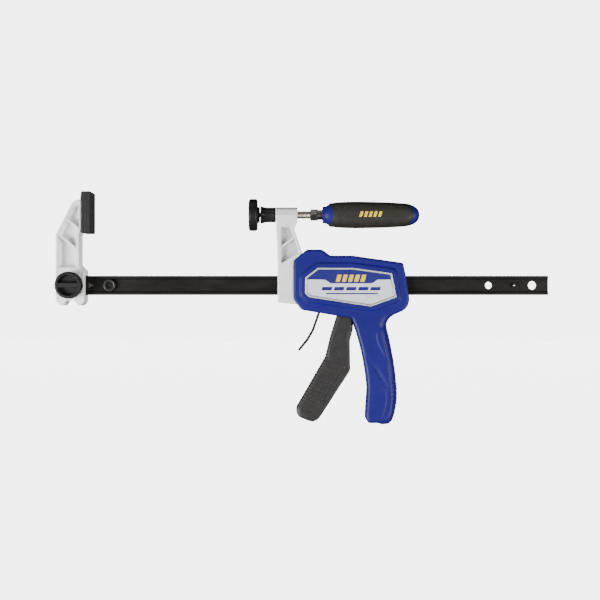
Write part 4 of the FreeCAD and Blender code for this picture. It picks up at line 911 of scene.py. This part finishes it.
def make_handle():
    """Blue core with a collar and an end dome, and the dark overmould between them with wavy edges."""
    count = 96
    angle = np.linspace(0, 2 * math.pi, count, endpoint=False)
    wave = np.cos(angle) ** 2
    front, back = 282.9 + 4.8 * wave, 379.2 + 4.2 * wave
    collar = ((275.6, 4.8), (275.6, 9.4), (276.3, 10.15), (279.4, 10.2), (280.0, COLLAR_RADIUS))
    rings = [ring_x(x, r, count) for x, r in collar]
    shoulder = handle_radius(284.0) - COLLAR_RADIUS
    steps = [np.linspace(281, 290, 19), np.arange(292, 374, 3.0), np.linspace(375, 391.8, 34)]
    for x in np.concatenate(steps):
        under = step_up(x, front - 0.1, front + 0.5) * (1 - step_up(x, back - 0.5, back + 0.1))
        base = handle_radius(x) if x > 284 else COLLAR_RADIUS + shoulder * step_up(x, 279.5, 285.5)
        rings.append(ring_x(x, base - 1.1 * under, count, squareness(x)))
    verts, faces = loft(rings)
    new_piece("handle_core_look", verts, faces, BLUE, "screw", "blue_plastic", "handle_core", smooth=45)
    rings = []
    percent = [[0, 0.15, 0.4, 0.8, 1.3], np.linspace(2, 98, 61), [98.7, 99.2, 99.6, 99.85, 100]]
    for u in np.concatenate(percent) / 100:
        x = front + (back - front) * u
        drop = 1 - bulge(min(u, 1 - u) * 95, 0.9)
        rings.append(ring_x(x, handle_radius(x) + GRIP_PROUD - drop, count, squareness(x)))
    verts, faces = loft(rings, False, False)
    new_piece("handle_grip_look", verts, faces, GRIP_RUBBER, "screw", "grip_rubber", "handle_grip", smooth=50)
    verts, faces = merged([handle_mark(321.4 + 5.6 * i, 3.3, 6.4) for i in range(MARK_COUNT)])
    new_piece("handle_gold", verts, faces, GOLD, "screw", "grip_rubber")


def handle_mark(x, width, height):
    """A slanted bar that follows the handle's side at y < 0."""
    rows, columns = 9, 5
    verts = []
    for v in np.linspace(-0.5, 0.5, rows):
        for u in np.linspace(-0.5, 0.5, columns):
            px = x + u * width + v * MARK_LEAN
            z = v * height
            r = handle_radius(px) + GRIP_PROUD
            p = squareness(px)
            y = (r**p - abs(z) ** p) ** (1 / p)
            verts.append((px, -y - 0.05, z))
    faces = []
    for r in range(rows - 1):
        for c in range(columns - 1):
            low, high = r * columns + c, (r + 1) * columns + c
            faces.append((low, low + 1, high + 1, high))
    return np.array(verts) * MM, faces


# ---------------------------------------------------------------- camera, floor and light

# The floor's gap under the object, and the radii and height of the backdrop, in metres.
FLOOR_GAP, FLAT_RADIUS, BEND, WALL_HEIGHT = 0.0006, 4.5, 1.5, 7.0
LOOK_AT = (0.25, 0.0, -0.10)


def make_stage():
    """Pale round floor that curves up into a backdrop on all sides."""
    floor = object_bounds()[0][2] - FLOOR_GAP
    bend = np.linspace(0, math.pi / 2, 24)
    profile = [(FLAT_RADIUS + BEND * math.sin(a), BEND - BEND * math.cos(a)) for a in bend]
    profile.append((FLAT_RADIUS + BEND, WALL_HEIGHT))
    turn = np.linspace(0, 2 * math.pi, 128, endpoint=False)
    rings = []
    for r, z in profile:
        rings.append(np.column_stack([r * np.cos(turn), r * np.sin(turn), np.full(len(turn), floor + z)]))
    verts, faces = loft(rings, True, False)
    mesh = bpy.data.meshes.new("floor")
    mesh.from_pydata(verts, [], faces)
    mesh.shade_smooth()
    material = bpy.data.materials.new("floor_paper")
    material.use_nodes = True
    tree = material.node_tree
    shader = tree.nodes["Principled BSDF"]
    coords = add(tree, "ShaderNodeTexCoord").outputs["Object"]
    tree.links.new(blended(tree, noise(tree, coords, 3.0), (0.055, 0.055, 0.055), (0.065, 0.065, 0.065)),
                   shader.inputs["Base Color"])
    shader.inputs["Roughness"].default_value = 0.9
    shader.inputs["Specular IOR Level"].default_value = 0.0
    shader.inputs["Emission Color"].default_value = (1, 1, 1, 1)
    shader.inputs["Emission Strength"].default_value = 5.0
    mesh.materials.append(material)
    stage = bpy.data.objects.new("floor", mesh)
    bpy.context.scene.collection.objects.link(stage)
    stage.visible_diffuse = stage.visible_glossy = stage.visible_shadow = False


def area_light(name, place, size, power):
    """A soft lamp that points at the object. The camera doesn't see it."""
    data = bpy.data.lights.new(name, "AREA")
    data.shape = "RECTANGLE"
    data.size, data.size_y = size
    data.energy = power
    light = bpy.data.objects.new(name, data)
    light.location = place
    light.rotation_euler = (Vector(LOOK_AT) - light.location).to_track_quat("-Z", "Y").to_euler()
    light.visible_camera = False
    bpy.context.scene.collection.objects.link(light)
    return light


def make_world():
    """Dim surroundings, brightest at the horizon and dark above and below."""
    world = bpy.data.worlds.new("studio")
    world.use_nodes = True
    tree = world.node_tree
    split = add(tree, "ShaderNodeSeparateXYZ")
    tree.links.new(add(tree, "ShaderNodeTexCoord").outputs["Generated"], split.inputs[0])
    height = add(tree, "ShaderNodeMath", operation="ABSOLUTE")
    tree.links.new(split.outputs["Z"], height.inputs[0])
    glow = ranged(tree, height.outputs[0], 0.30, 0.03, 0.05, 0.75)
    tree.links.new(glow, tree.nodes["Background"].inputs["Strength"])
    tree.nodes["Background"].inputs["Color"].default_value = (1, 1, 1, 1)
    bpy.context.scene.world = world


def make_light():
    """Two low keys from the front, a weak top light, and a back light that shows in no reflection."""
    area_light("key_left", (-2.3, -2.2, -0.95), (1.6, 1.6), 315)
    area_light("key_right", (2.6, -2.1, -0.70), (1.8, 1.8), 150)
    area_light("top", (0.05, -0.30, 1.3), (0.9, 0.3), 2)
    back = area_light("back", (0.25, 2.6, 0.5), (2.6, 1.6), 210)
    back.visible_glossy = False


def make_camera():
    """A straight view of the near side."""
    data = bpy.data.cameras.new("camera")
    data.lens, data.sensor_width = 72.5, 36.0
    data.clip_end = 20
    camera = bpy.data.objects.new("camera", data)
    camera.location = (0.2485, -1.45, -0.102)
    camera.rotation_euler = (math.radians(90), 0, 0)
    bpy.context.scene.collection.objects.link(camera)
    bpy.context.scene.camera = camera


dress_nodes()
make_housing()
make_label(1, "near", "label_plate_near")
make_label(-1, "far", "label_plate_far")
make_trigger()
make_release()
make_stop_ring()
make_arrow()
make_rod()
make_handle()
make_stage()
make_world()
make_light()
make_camera()
